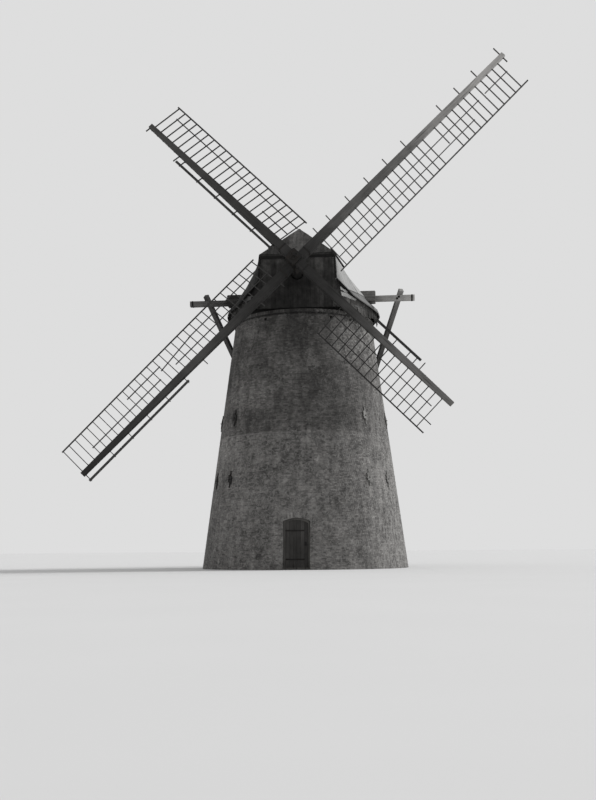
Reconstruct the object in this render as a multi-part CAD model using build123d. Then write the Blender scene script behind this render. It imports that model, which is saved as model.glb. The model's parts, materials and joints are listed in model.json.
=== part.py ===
# Round brick tower mill with a boarded bell-shaped cap that turns on its curb, and four bare lattice
# sails on two stocks. The origin is the centre of the tower's foot on the ground, +Z is up, and the
# sails face -Y at rest. Lengths are millimetres and angles are degrees.
import os
from math import atan2, cos, degrees, radians, sin, sqrt, tan

from build123d import *

# Tower
tower_base_radius = 4760
tower_top_radius = 3150
tower_height = 11150
wall_thickness_base = 660
wall_thickness_top = 430
wall_sectors = 6

# Ring of bricks on the wall head, and the timber curb that the cap turns on
head_ring_radius = 3230
head_ring_height = 130
curb_outer_radius = 3050
curb_inner_radius = 2760
curb_height = 200

# Scaffold holes below the wall head
scaffold_hole_count = 20
scaffold_hole_size = 130
scaffold_hole_depth = 220
scaffold_hole_drop = 200

# Ground floor, and two timber floors on beams tied through the wall by iron anchors
ground_floor_thickness = 120
floor_board_thickness = 50
floor_beam_width = 240
floor_beam_depth = 260
floor_wall_clearance = 1
lower_floor_beam_height = 3950
upper_floor_beam_height = 6690
lower_floor_beams = (-2900, -1750, 1750, 2900)
upper_floor_beams = (-2500, -600, 600, 2500)
hatch_width = 900
hatch_length = 1400
hatch_centre_x = 1500
anchor_length = 740
anchor_width = 60
anchor_depth = 45

# Doors, one under the sails and one opposite
door_opening_width = 1150
door_opening_height = 2050
door_arch_rise = 140
door_arch_depth = 240
door_frame_width = 90
door_frame_depth = 120
door_leaf_thickness = 50
door_setback = 420

# Cap: a ridge, two steep flanks that fall from a knuckle line to an oval eave, and half-hips
cap_ridge_height = 15080
cap_knuckle_height = 13660
cap_knuckle_half_width = 1630
cap_front = 3200
cap_eave_half_width = 3470
cap_eave_half_length = 3670
cap_eave_height = 11700
cap_eave_end_rise = 850
cap_eave_rise_power = 6
cap_shell_thickness = 60
cap_hip_angle = 52
cap_gable_setback = 50
cap_gable_thickness = 50
cap_gable_clearance = 50
cap_skirt_inset = 120
cap_skirt_thickness = 50
cap_skirt_bottom = 11480
cap_stations = (-1.0, -0.93, -0.84, -0.7, -0.5, -0.25, 0.0, 0.25, 0.5, 0.7, 0.84, 0.93, 1.0)

# Cap frame
sheer_half_spacing = 850
sheer_width = 300
sheer_bottom = 11600
sheer_top = 12000
sheer_front = -2950
sheer_back = 3640
skid_clearance = 0.3
skid_length = 420
weather_beam_y = -2600
weather_beam_width = 420
weather_beam_height = 430
weather_beam_half_length = 1350
tail_beam_y = 2300
tail_beam_width = 300

# Beams and braces that carry the tail pole
long_beam_y = -1200
long_beam_size = 230
long_beam_half_length = 5100
short_beam_y = 3430
short_beam_size = 220
short_beam_half_length = 3200
beam_box_half_width = 300
beam_box_outer = 3330
beam_box_bottom = 11960
beam_box_top = 12390
brace_size = 195
short_brace_size = 160
brace_lap = 30
brace_horn = 480
left_long_brace_x = 4220
right_long_brace_x = 4370
short_brace_x = 2950
tail_pole_width = 280
tail_pole_depth = 240
tail_pole_top = (0, 3440, 12420)
tail_pole_foot = (0, 9600, 900)
long_brace_foot_height = 1500
short_brace_foot_height = 2600

# Windshaft and poll end
hub_ahead = 4400
hub_height = 13000
shaft_incline = 8
shaft_radius = 225
neck_radius = 190
neck_length = 560
tail_journal_radius = 110
tail_journal_length = 400
shaft_tail_beyond = 150
bearing_clearance = 0.3
bearing_sides = 16
bearing_block_length = 360
bearing_block_half_width = 300
gable_hole_clearance = 60
poll_size = 540
poll_chamfer = 45
poll_front = 440
poll_back = 620

# Stocks: the one through the upper right is the longer, and behind the other
long_stock_angle = 45.5
short_stock_angle = 135
stock_spacing = 390
stock_hub_width = 380
stock_hub_depth = 330
stock_tip_width = 200
stock_tip_depth = 150
upper_right_arm = 12670
lower_left_arm = 12650
upper_left_arm = 8880
lower_right_arm = 9100

# Lattices
bar_width = 34
bar_depth = 50
inner_lath_width = 42
lath_depth = 28
lath_lap = 10
hem_width = 60
leading_reach = 490
leading_lath_place = 440
broken_share = 2 / 3
weather_at_hub = 20
near_lath = (0.37, 0.37)
far_lath = (0.68, 0.68)


def wall_outer(height):
    """Outer radius of the tower wall at a height."""
    return tower_base_radius + (tower_top_radius - tower_base_radius) * height / tower_height


def wall_inner(height):
    """Inner radius of the tower wall at a height."""
    base = tower_base_radius - wall_thickness_base
    top = tower_top_radius - wall_thickness_top
    return base + (top - base) * height / tower_height


def block(x_range, y_range, z_range):
    """Box between two values on each axis."""
    size = [high - low for low, high in (x_range, y_range, z_range)]
    centre = [(high + low) / 2 for low, high in (x_range, y_range, z_range)]
    return Pos(*centre) * Box(*size)


def timber(start, end, width, depth):
    """Squared timber between two points, its width level."""
    run = Vector(*end) - Vector(*start)
    side = Vector(0, 0, 1).cross(run)
    middle = (Vector(*start) + Vector(*end)) * 0.5
    place = Plane(origin=middle, x_dir=side, z_dir=run)
    return place * Box(width, depth, run.length)


def trimmed(shape, *cutters):
    """The largest piece that is left when a timber is cut by what it meets."""
    for cutter in cutters:
        shape = shape - cutter
    return max(shape.solids(), key=lambda solid: solid.volume)


def ring(outer, inner, low, high):
    """Flat ring between two heights."""
    return Pos(0, 0, (low + high) / 2) * (
        Cylinder(outer, high - low) - Cylinder(inner, high - low)
    )


def around(shape, angle):
    """Shape turned about the tower's axis."""
    return Rot(0, 0, angle) * shape


# Tower wall

def wall_cone(outer):
    """Solid bounded by the wall's outer or inner face."""
    radius = wall_outer if outer else wall_inner
    return Pos(0, 0, tower_height / 2) * Cone(radius(0), radius(tower_height), tower_height)


def wall_sector(number):
    """One upright slice of the round wall; the first is centred on the front."""
    sweep = 360 / wall_sectors
    with BuildSketch(Plane.XZ) as profile:
        Polygon(
            (wall_inner(0), 0),
            (wall_outer(0), 0),
            (wall_outer(tower_height), tower_height),
            (wall_inner(tower_height), tower_height),
            align=None,
        )
    slice_solid = revolve(profile.sketch, Axis.Z, sweep)
    return around(slice_solid, -90 - sweep / 2 + number * sweep)


def scaffold_holes():
    """Square pockets all round, below the wall head."""
    height = tower_height - scaffold_hole_drop
    reach = wall_outer(height) - scaffold_hole_depth / 2
    step = 360 / scaffold_hole_count
    pocket = Pos(reach, 0, height) * Box(
        scaffold_hole_depth + scaffold_hole_size, scaffold_hole_size, scaffold_hole_size
    )
    return [around(pocket, step * (index + 0.5)) for index in range(scaffold_hole_count)]


def door_outline(width, height, rise, base=0.0):
    """Door shape with a flat segmental head, upright in the XZ plane."""
    with BuildSketch(Plane.XZ) as outline:
        with BuildLine():
            left = Line((-width / 2, height), (-width / 2, base))
            sill = Line(left @ 1, (width / 2, base))
            right = Line(sill @ 1, (width / 2, height))
            ThreePointArc(right @ 1, (0, height + rise), left @ 0)
        make_face()
    return outline.sketch


def through_wall(outline):
    """Prism of an upright outline that passes through the front wall only."""
    return extrude(outline, tower_base_radius * 1.1)


door_opening = through_wall(door_outline(door_opening_width, door_opening_height, door_arch_rise))
door_arch_prism = through_wall(
    door_outline(
        door_opening_width + 2 * door_arch_depth,
        door_opening_height + door_arch_depth,
        door_arch_rise,
        door_opening_height,
    )
) - door_opening


def door_frame():
    """Timber frame that lines the opening, with a threshold."""
    outer = door_outline(door_opening_width, door_opening_height, door_arch_rise)
    inner = door_outline(
        door_opening_width - 2 * door_frame_width,
        door_opening_height - door_frame_width,
        door_arch_rise,
        door_frame_width,
    )
    face = -(tower_base_radius - door_setback)
    return Pos(0, face, 0) * extrude(outer - inner, door_frame_depth, dir=(0, 1, 0))


def door_leaf():
    """Plank door that closes the frame."""
    inner = door_outline(
        door_opening_width - 2 * door_frame_width,
        door_opening_height - door_frame_width,
        door_arch_rise,
        door_frame_width,
    )
    inset = (door_frame_depth - door_leaf_thickness) / 2
    face = -(tower_base_radius - door_setback) + inset
    return Pos(0, face, 0) * extrude(inner, door_leaf_thickness, dir=(0, 1, 0))


def tower_walls():
    """All wall slices with their doorways and scaffold holes cut."""
    pockets = scaffold_holes()
    cuts = [door_opening + door_arch_prism]
    cuts.append(around(cuts[0], 180))
    nodes = {}
    for number in range(wall_sectors):
        wall = wall_sector(number)
        for cut in cuts + pockets:
            if wall.bounding_box().overlaps(cut.bounding_box()):
                wall = wall - cut
        nodes[f"tower_wall_{number + 1}"] = wall
    return nodes


def door_arches():
    """Brick arch over each doorway, flush with the wall."""
    arch = door_arch_prism & (wall_cone(True) - wall_cone(False))
    return [arch, around(arch, 180)]


def floor(beam_height, beam_places, hatch_side):
    """Timber floor fused to the beams that carry it, with a hatch between the beams."""
    beam_top = beam_height + floor_beam_depth / 2
    board_top = beam_top + floor_board_thickness
    radius = wall_inner(board_top) - floor_wall_clearance
    boards = Pos(0, 0, beam_top + floor_board_thickness / 2) * Cylinder(
        radius, floor_board_thickness
    )
    hatch = Pos(hatch_side * hatch_centre_x, 0, beam_top) * Box(
        hatch_length, hatch_width, 4 * floor_board_thickness
    )
    floor_solid = boards - hatch
    for place in beam_places:
        corner = abs(place) + floor_beam_width / 2
        half = sqrt((wall_inner(beam_top) - floor_wall_clearance) ** 2 - corner**2)
        floor_solid += block(
            (-half, half),
            (place - floor_beam_width / 2, place + floor_beam_width / 2),
            (beam_top - floor_beam_depth, beam_top),
        )
    return floor_solid


def wall_anchors():
    """Iron anchor bars on the wall face at both ends of each floor beam."""
    wall = wall_cone(True)
    batter = degrees(atan2(tower_base_radius - tower_top_radius, tower_height))
    anchors = []
    for height, places in (
        (lower_floor_beam_height, lower_floor_beams),
        (upper_floor_beam_height, upper_floor_beams),
    ):
        for place in places:
            for side in (-1, 1):
                radius = wall_outer(height)
                angle = degrees(atan2(place, side * sqrt(radius**2 - place**2)))
                bar = Pos(radius, 0, height) * Rot(0, -batter, 0) * Box(
                    2 * anchor_depth, anchor_width, anchor_length
                )
                anchors.append(around(bar, angle) - wall)
    return anchors


# Cap shell

def eave_half_width(place):
    """Half width of the oval eave at a distance along the cap."""
    return cap_eave_half_width * sqrt(1 - (place / cap_eave_half_length) ** 2)


def eave_height(place):
    """Height of the eave, which climbs to the gable corners."""
    return cap_eave_height + cap_eave_end_rise * abs(place / cap_front) ** cap_eave_rise_power


def cap_section(place, inner):
    """Half outline of the roof at a distance along the cap: ridge, knuckle, eave."""
    ridge = Vector(0, 0, cap_ridge_height)
    knuckle = Vector(cap_knuckle_half_width, 0, cap_knuckle_height)
    eave = Vector(eave_half_width(place), 0, eave_height(place))
    if not inner:
        return [ridge, knuckle, eave]
    upper = (knuckle - ridge).normalized()
    lower = (eave - knuckle).normalized()
    upper_in = Vector(upper.Z, 0, -upper.X) * cap_shell_thickness
    lower_in = Vector(lower.Z, 0, -lower.X) * cap_shell_thickness
    bisector = upper_in.normalized() + lower_in.normalized()
    reach = 2 * cap_shell_thickness / bisector.length**2
    return [
        ridge - Vector(0, 0, cap_shell_thickness / upper.X),
        knuckle + bisector * reach,
        eave + lower_in,
    ]


def cap_solid(inner):
    """Solid inside the roof's outer or inner face; the inner one runs on down to the curb."""
    sections = []
    for share in cap_stations:
        place = share * cap_front
        ridge, knuckle, eave = cap_section(place, inner)
        bottom = tower_height if inner else cap_section(place, True)[2].Z
        foot = eave if inner else cap_section(place, True)[2]
        half = [ridge, knuckle, eave, Vector(foot.X, 0, bottom)]
        other = [Vector(-point.X, 0, point.Z) for point in reversed(half[1:])]
        outline = [Vector(point.X, place, point.Z) for point in half + other]
        sections.append(Face(Wire.make_polygon(outline, close=True)))
    return loft(sections, ruled=True)


def above_hip(end, drop):
    """Half space above a half-hip plane at the front (-1) or back (1), lowered by drop."""
    ridge_end = cap_front - (cap_ridge_height - cap_knuckle_height) / tan(radians(cap_hip_angle))
    size = 8000
    plane = Plane(
        origin=(0, end * ridge_end, cap_ridge_height),
        x_dir=(1, 0, 0),
        z_dir=(0, end * sin(radians(cap_hip_angle)), cos(radians(cap_hip_angle))),
    )
    return plane * (Pos(0, 0, size / 2 - drop) * Box(size, size, size))


cap_outer = cap_solid(False)
cap_inner = cap_solid(True)
long_beam = block(
    (-long_beam_half_length, long_beam_half_length),
    (long_beam_y - long_beam_size / 2, long_beam_y + long_beam_size / 2),
    (sheer_top, sheer_top + long_beam_size),
)


def cap_roof():
    """Left and right roof sides and the two half-hips."""
    reach = 2 * cap_front
    right_side = block((0, reach), (-reach, reach), (0, 2 * cap_ridge_height))
    left_side = block((-reach, 0), (-reach, reach), (0, 2 * cap_ridge_height))
    shell = cap_outer - cap_inner - long_beam
    nodes = {}
    for end, name in ((-1, "cap_front_hip"), (1, "cap_back_hip")):
        shell = shell - above_hip(end, cap_shell_thickness)
        slab = above_hip(end, cap_shell_thickness) - above_hip(end, 0)
        nodes[name] = cap_outer & slab
    nodes["cap_left_roof"] = shell & left_side
    nodes["cap_right_roof"] = shell & right_side
    return nodes


def shaft_place(along):
    """Point on the windshaft's axis at a distance behind the hub along Y."""
    return Vector(0, along - hub_ahead, hub_height - along * tan(radians(shaft_incline)))


sails_place = Location((0, -hub_ahead, hub_height), (-shaft_incline, 0, 0))


def cap_gable(end):
    """Boarded gable inside the roof's verge, down to just above the ring of bricks."""
    face = cap_front - cap_gable_setback
    back = face - cap_gable_thickness
    bottom = tower_height + head_ring_height + cap_gable_clearance
    limits = sorted((end * face, end * back))
    slab = block((-cap_front, cap_front), limits, (bottom, cap_ridge_height))
    gable = (cap_inner & slab) - above_hip(end, cap_shell_thickness)
    if end < 0:
        hole = Cylinder(shaft_radius + gable_hole_clearance, 4 * cap_gable_setback + 400)
        hole_centre = shaft_place(hub_ahead - face)
        gable = gable - Location(hole_centre, (90 - shaft_incline, 0, 0)) * hole
    return gable


def cap_skirt(side):
    """Upright boarding under the eave, between the gables, on one side."""
    height = cap_knuckle_height - cap_skirt_bottom
    outer = Ellipse(cap_eave_half_width - cap_skirt_inset, cap_eave_half_length - cap_skirt_inset)
    inset = cap_skirt_inset + cap_skirt_thickness
    inner = Ellipse(cap_eave_half_width - inset, cap_eave_half_length - inset)
    wall = Pos(0, 0, cap_skirt_bottom) * extrude(outer - inner, height)
    gable_back = cap_front - cap_gable_setback - cap_gable_thickness
    reach = cap_eave_half_width
    limits = sorted((0, side * reach))
    zone = block(limits, (-gable_back, gable_back), (0, cap_ridge_height))
    return (wall & zone & cap_inner) - long_beam


def beam_box(side):
    """Boarded box where the long cross-beam leaves the roof."""
    limits = sorted((side * cap_knuckle_half_width, side * beam_box_outer))
    box = block(
        limits,
        (long_beam_y - beam_box_half_width, long_beam_y + beam_box_half_width),
        (beam_box_bottom, beam_box_top),
    )
    return box - cap_outer - cap_inner - long_beam


# Cap frame

def sheers():
    """Two long timbers that rest on the curb and carry the cap."""
    return [
        block(
            (centre - sheer_width / 2, centre + sheer_width / 2),
            (sheer_front, sheer_back),
            (sheer_bottom, sheer_top),
        )
        for centre in (-sheer_half_spacing, sheer_half_spacing)
    ]


def skid_blocks():
    """Blocks under the sheers that slide on the curb."""
    curb_top = tower_height + head_ring_height + curb_height
    middle = (curb_outer_radius + curb_inner_radius) / 2
    blocks = []
    for side in (-1, 1):
        for end in (-1, 1):
            centre_x = side * sheer_half_spacing
            centre_y = end * sqrt(middle**2 - centre_x**2)
            blocks.append(
                block(
                    (centre_x - sheer_width / 2, centre_x + sheer_width / 2),
                    (centre_y - skid_length / 2, centre_y + skid_length / 2),
                    (curb_top + skid_clearance, sheer_bottom),
                )
            )
    return blocks


def journal_bed(radius, length, centre):
    """Flat-sided bore, along the windshaft, that a journal runs in."""
    bore = Pos(0, 0, -length / 2) * extrude(
        RegularPolygon(radius + bearing_clearance, bearing_sides, major_radius=False), length
    )
    return Location(centre, (90 - shaft_incline, 0, 0)) * bore


def weather_beam():
    """Beam behind the front gable with the bearing block for the shaft's neck."""
    centre = shaft_place(hub_ahead + weather_beam_y)
    beam_top = sheer_top + weather_beam_height
    beam = block(
        (-weather_beam_half_length, weather_beam_half_length),
        (weather_beam_y - weather_beam_width / 2, weather_beam_y + weather_beam_width / 2),
        (sheer_top, beam_top),
    )
    bearing = block(
        (-bearing_block_half_width, bearing_block_half_width),
        (weather_beam_y - bearing_block_length / 2, weather_beam_y + bearing_block_length / 2),
        (beam_top, centre.Z),
    )
    return (beam + bearing) - journal_bed(neck_radius, 3 * weather_beam_width, centre)


def tail_beam():
    """Beam between the sheers that carries the shaft's tail journal."""
    centre = shaft_place(hub_ahead + tail_beam_y)
    half = sheer_half_spacing - sheer_width / 2
    beam = block(
        (-half, half),
        (tail_beam_y - tail_beam_width / 2, tail_beam_y + tail_beam_width / 2),
        (sheer_bottom, centre.Z),
    )
    return beam - journal_bed(tail_journal_radius, 3 * tail_beam_width, centre)


# Tail pole and braces

short_beam = block(
    (-short_beam_half_length, short_beam_half_length),
    (short_beam_y - short_beam_size / 2, short_beam_y + short_beam_size / 2),
    (sheer_top, sheer_top + short_beam_size),
)
tail_pole = trimmed(
    timber(tail_pole_top, tail_pole_foot, tail_pole_width, tail_pole_depth), short_beam
)


def point_on_pole(height):
    """Point on the tail pole's axis at a height."""
    top = Vector(*tail_pole_top)
    foot = Vector(*tail_pole_foot)
    return top + (foot - top) * ((top.Z - height) / (top.Z - foot.Z))


def brace(side, size, place, beam, beam_y, beam_size, foot_height):
    """Brace halved over the back of a cross-beam, down to the side of the tail pole."""
    seat = Vector(side * place, beam_y + beam_size / 2 + size / 2 - brace_lap,
                  sheer_top + beam_size / 2)
    pole = point_on_pole(foot_height)
    foot = Vector(side * tail_pole_width / 4, pole.Y, pole.Z)
    top = seat + (seat - foot).normalized() * brace_horn
    return trimmed(timber(top, foot, size, size), beam, tail_pole)


def long_brace(side, place):
    """Brace from one end of the long cross-beam to the foot of the tail pole."""
    return brace(
        side, brace_size, place, long_beam, long_beam_y, long_beam_size,
        long_brace_foot_height,
    )


def short_brace(side):
    """Brace from one end of the short cross-beam to the tail pole."""
    return brace(
        side, short_brace_size, short_brace_x, short_beam, short_beam_y, short_beam_size,
        short_brace_foot_height,
    )


# Windshaft, poll end and stocks. These are made about the shaft: X to the right, Y back along the
# shaft, Z up in the plane of the sails.

def arm_plane(angle, depth):
    """Plane of one sail arm: X out along the stock, Y to the trailing side, Z back."""
    turn = radians(angle)
    return Plane(
        origin=(0, depth, 0),
        x_dir=(cos(turn), 0, sin(turn)),
        z_dir=(0, 1, 0),
    )


def across(radius):
    """Plane across a sail arm at a distance from the hub: X to the trailing side, Y back."""
    return Plane(origin=(radius, 0, 0), z_dir=(1, 0, 0), x_dir=(0, 1, 0))


def stock(arm, other_arm):
    """Squared pole that tapers from the hub to both tips, one arm along +X and one along -X."""
    sections = []
    for place, width, depth in (
        (-other_arm, stock_tip_width, stock_tip_depth),
        (0, stock_hub_width, stock_hub_depth),
        (arm, stock_tip_width, stock_tip_depth),
    ):
        sections.append(across(place) * Rectangle(width, depth))
    return loft(sections, ruled=True)


long_stock = arm_plane(long_stock_angle, stock_spacing / 2) * stock(upper_right_arm, lower_left_arm)
short_stock = arm_plane(short_stock_angle, -stock_spacing / 2) * stock(
    upper_left_arm, lower_right_arm
)


def poll_end():
    """Iron head on the shaft with a mortise for each stock."""
    depth = poll_front + poll_back
    head = Box(poll_size, depth, poll_size)
    head = chamfer(head.edges().filter_by(Axis.Y), poll_chamfer)
    head = Rot(0, 45, 0) * head
    head = Pos(0, (poll_back - poll_front) / 2, 0) * head
    return head - long_stock - short_stock


def windshaft():
    """Round shaft with a turned neck and tail journal."""
    neck_at = (hub_ahead + weather_beam_y) / cos(radians(shaft_incline))
    tail_at = (hub_ahead + tail_beam_y) / cos(radians(shaft_incline))
    tail_end = tail_at + tail_journal_length / 2 + shaft_tail_beyond
    points = [
        (0, poll_back),
        (shaft_radius, poll_back),
        (shaft_radius, neck_at - neck_length / 2),
        (neck_radius, neck_at - neck_length / 2),
        (neck_radius, neck_at + neck_length / 2),
        (shaft_radius, neck_at + neck_length / 2),
        (shaft_radius, tail_at - tail_journal_length / 2),
        (tail_journal_radius, tail_at - tail_journal_length / 2),
        (tail_journal_radius, tail_end),
        (0, tail_end),
    ]
    with BuildSketch(Plane.XY) as profile:
        Polygon(*points, align=None)
    return revolve(profile.sketch, Axis.Y)


# Lattices. Each is one object that knows its sail's size, twist and width.

class Lattice:
    """Bars and laths of one sail, with X out along the stock and Y to the trailing side."""

    def __init__(self, arm, tip_weather, bars, width_at_hub, width_at_tip):
        self.arm = arm
        self.tip_weather = tip_weather
        self.first_bar, self.bar_pitch, self.closing = bars
        self.width_at_hub = width_at_hub
        self.width_at_tip = width_at_tip

    def radius(self, number):
        """Distance of a bar from the hub; the bars stand a little closer towards the tip."""
        return self.first_bar + number * self.bar_pitch - number**2 * self.closing

    def weather(self, number):
        """Angle of a bar to the plane of the sails."""
        share = self.radius(number) / self.arm
        return weather_at_hub + (self.tip_weather - weather_at_hub) * share

    def width(self, number):
        """Reach of a bar from the stock's middle to the hem's outer edge."""
        share = self.radius(number) / self.arm
        return self.width_at_hub + (self.width_at_tip - self.width_at_hub) * share

    def bar(self, number, start, end):
        """Sail bar across the stock's axis, turned by the weather angle."""
        stick = block(
            (-bar_width / 2, bar_width / 2),
            (start, end),
            (-bar_depth / 2, bar_depth / 2),
        )
        return Location((self.radius(number), 0, 0), (self.weather(number), 0, 0)) * stick

    def lath(self, span, width, place):
        """Lath on the front of the bars; span is its ends and place(number) its middle."""
        start, end = span
        inner_stations = [number + 0.5 for number in range(int(start) + 3, int(end) - 2, 4)]
        front = -(bar_depth + lath_depth) / 2 + lath_lap
        sections = []
        for station in [start, *inner_stations, end]:
            section = Pos(place(station), front) * Rectangle(width, lath_depth)
            sections.append(across(self.radius(station)) * (Rot(0, 0, self.weather(station)) * section))
        return loft(sections, ruled=True)

    def inner_lath(self, span, shares):
        """Thin lath that starts and ends at shares of the sail's width."""
        slope = (shares[1] - shares[0]) / (span[1] - span[0])
        return self.lath(
            span,
            inner_lath_width,
            lambda number: (shares[0] + slope * (number - span[0])) * self.width(number),
        )

    def hem(self, span):
        """Hem lath along the bars' outer ends."""
        return self.lath(span, hem_width, lambda number: self.width(number) - hem_width / 2)

    def leading_lath(self, span):
        """Lath on the stubs ahead of the stock."""
        return self.lath(span, hem_width, lambda number: -leading_lath_place)


def sail(lattice, bar_count, stubs, laths, hem, missing=(), broken=(), short=None, leading=None):
    """One sail's lattice, with the stubs on its leading side, cut free of the stock.

    missing and broken name bars counted from the hub; stubs names the bars that run on past the
    stock; laths lists (span, shares of the width); short is a last bar with its own two ends; hem
    and leading are spans, in bars.
    """
    pieces = []
    for number in range(bar_count):
        start = -leading_reach if number in stubs else 0
        end = lattice.width(number)
        if number in broken:
            end *= broken_share
        if number in missing:
            end = 0
        if end > start:
            pieces.append(lattice.bar(number, start, end))
    if short:
        pieces.append(lattice.bar(*short))
    for span, shares in laths:
        pieces.append(lattice.inner_lath(span, shares))
    pieces.append(lattice.hem(hem))
    if leading:
        pieces.append(lattice.leading_lath(leading))
    whole = pieces[0].fuse(*pieces[1:])
    return whole - stock(lattice.arm, lattice.arm)


def sail_nodes():
    """The four sails, named by where they stand at rest, seen from the front."""
    upper_right = sail(
        Lattice(upper_right_arm, 8, (1557, 388.9, 0.73), 1631, 1557),
        bar_count=30,
        missing=(17,),
        broken=(18,),
        short=(30, -leading_reach, 340),
        stubs=(0, 2, 5, 8, 11, 14, 20, 23, 26),
        laths=(
            ((-0.1, 24.1), (0.41, 0.41)),
            ((-0.1, 22.1), (0.7, 0.7)),
            ((25.2, 29.1), (0.4, 0.4)),
        ),
        hem=(-0.6, 30.1),
    )
    lower_left = sail(
        Lattice(lower_left_arm, 5, (1098, 388.7, 0.625), 1768, 1400),
        bar_count=32,
        stubs=(0, 3, 12, 15, 18, 21, 24, 27, 31),
        laths=(
            ((-0.1, 11.3), far_lath),
            ((10.8, 16.2), (0.68, 0.55)),
            ((15.9, 21.3), far_lath),
            ((-0.1, 14.5), near_lath),
            ((16.9, 28.2), near_lath),
        ),
        hem=(-0.3, 31.15),
        leading=(14.8, 31.2),
    )
    upper_left = sail(
        Lattice(upper_left_arm, 11, (1057, 369.3, 0.24), 1748, 1546),
        bar_count=22,
        short=(21.3, -320, 0),
        stubs=(0, 3, 6, 9, 12, 15, 16),
        laths=(((-0.2, 20.1), far_lath), ((-0.1, 4.1), near_lath)),
        hem=(-0.3, 21.2),
        leading=(-0.3, 15.7),
    )
    lower_right = sail(
        Lattice(lower_right_arm, 13.5, (2927, 385.5, 0.3), 1605, 1642),
        bar_count=16,
        stubs=(4, 7, 9, 10, 11),
        laths=(((-0.15, 14.7), near_lath), ((-0.15, 16.05), (0.71, 0.71))),
        hem=(-0.15, 16.05),
        leading=(3.85, 10.5),
    )
    opposite = 180
    placed = {
        "sail_upper_right": arm_plane(long_stock_angle, stock_spacing / 2) * upper_right,
        "sail_lower_left": arm_plane(long_stock_angle + opposite, stock_spacing / 2) * lower_left,
        "sail_upper_left": arm_plane(short_stock_angle, -stock_spacing / 2) * upper_left,
        "sail_lower_right": arm_plane(short_stock_angle + opposite, -stock_spacing / 2) * lower_right,
    }
    return {name: sails_place * lattice for name, lattice in placed.items()}


# All nodes

curb_bottom = tower_height + head_ring_height
nodes = tower_walls()
nodes["tower_head_ring"] = ring(
    head_ring_radius, tower_top_radius - wall_thickness_top, tower_height, curb_bottom
)
nodes["timber_curb"] = ring(
    curb_outer_radius, curb_inner_radius, curb_bottom, curb_bottom + curb_height
)
nodes["ground_floor"] = Pos(0, 0, ground_floor_thickness / 2) * Cylinder(
    wall_inner(ground_floor_thickness) - floor_wall_clearance, ground_floor_thickness
)
nodes["first_floor"] = floor(lower_floor_beam_height, lower_floor_beams, 1)
nodes["second_floor"] = floor(upper_floor_beam_height, upper_floor_beams, -1)
nodes["wall_anchors"] = wall_anchors()
nodes["door_arches"] = door_arches()
nodes["door_frames"] = [door_frame(), around(door_frame(), 180)]
nodes["front_door"] = door_leaf()
nodes["back_door"] = around(door_leaf(), 180)
nodes.update(cap_roof())
nodes["cap_front_gable"] = cap_gable(-1)
nodes["cap_back_gable"] = cap_gable(1)
for sheer in sheers():
    nodes["cap_back_gable"] = nodes["cap_back_gable"] - sheer
nodes["cap_left_skirt"] = cap_skirt(-1)
nodes["cap_right_skirt"] = cap_skirt(1)
nodes["beam_boxes"] = [beam_box(-1), beam_box(1)]
nodes["cap_sheers"] = sheers()
nodes["curb_skids"] = skid_blocks()
nodes["weather_beam"] = weather_beam()
nodes["tail_bearing_beam"] = tail_beam()
nodes["long_cross_beam"] = long_beam
nodes["short_cross_beam"] = short_beam
nodes["left_long_brace"] = long_brace(-1, left_long_brace_x)
nodes["right_long_brace"] = long_brace(1, right_long_brace_x)
nodes["short_braces"] = [short_brace(-1), short_brace(1)]
nodes["tail_pole"] = tail_pole
nodes["windshaft"] = sails_place * windshaft()
nodes["poll_end"] = sails_place * poll_end()
nodes["long_stock"] = sails_place * long_stock
nodes["short_stock"] = sails_place * short_stock
nodes.update(sail_nodes())

os.makedirs("parts", exist_ok=True)
for name, shape in nodes.items():
    solids = shape if isinstance(shape, list) else [shape]
    export_step(Compound(children=[solid for item in solids for solid in item.solids()]),
                f"parts/{name}.step")
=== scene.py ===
import json
import random
from math import asin, atan, atan2, cos, hypot, pi, radians, sin
from typing import NamedTuple

import bmesh
import bpy
from bpy.props import FloatProperty, FloatVectorProperty, PointerProperty
from bpy.types import Operator, Panel, PropertyGroup
from mathutils import Euler, Matrix, Vector, noise


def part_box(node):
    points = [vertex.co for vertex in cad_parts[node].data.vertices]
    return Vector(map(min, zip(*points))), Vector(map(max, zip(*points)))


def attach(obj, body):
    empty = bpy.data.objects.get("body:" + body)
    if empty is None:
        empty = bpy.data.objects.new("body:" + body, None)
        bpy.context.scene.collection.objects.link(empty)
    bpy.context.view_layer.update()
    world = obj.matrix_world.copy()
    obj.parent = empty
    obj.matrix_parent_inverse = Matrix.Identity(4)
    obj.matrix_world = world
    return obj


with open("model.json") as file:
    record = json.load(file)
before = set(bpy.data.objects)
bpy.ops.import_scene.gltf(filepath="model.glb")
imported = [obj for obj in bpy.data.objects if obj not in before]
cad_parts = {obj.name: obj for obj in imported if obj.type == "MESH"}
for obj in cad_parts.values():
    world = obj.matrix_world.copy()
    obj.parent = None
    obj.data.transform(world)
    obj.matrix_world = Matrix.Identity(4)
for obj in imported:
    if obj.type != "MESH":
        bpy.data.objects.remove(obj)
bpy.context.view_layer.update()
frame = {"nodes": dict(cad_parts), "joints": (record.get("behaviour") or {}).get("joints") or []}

bl_info = {
    "name": "Tower mill",
    "version": (1, 0, 0),
    "blender": (4, 5, 0),
    "location": "3D View > Sidebar > Mill",
    "description": "Brickwork, boards, roofing, ironwork and finishes of a round brick tower mill",
    "category": "Add Mesh",
}

right = Vector((1, 0, 0))
back = Vector((0, 1, 0))
up = Vector((0, 0, 1))

# The picture's size and horizon in pixels, and the place that it was taken from

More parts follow.
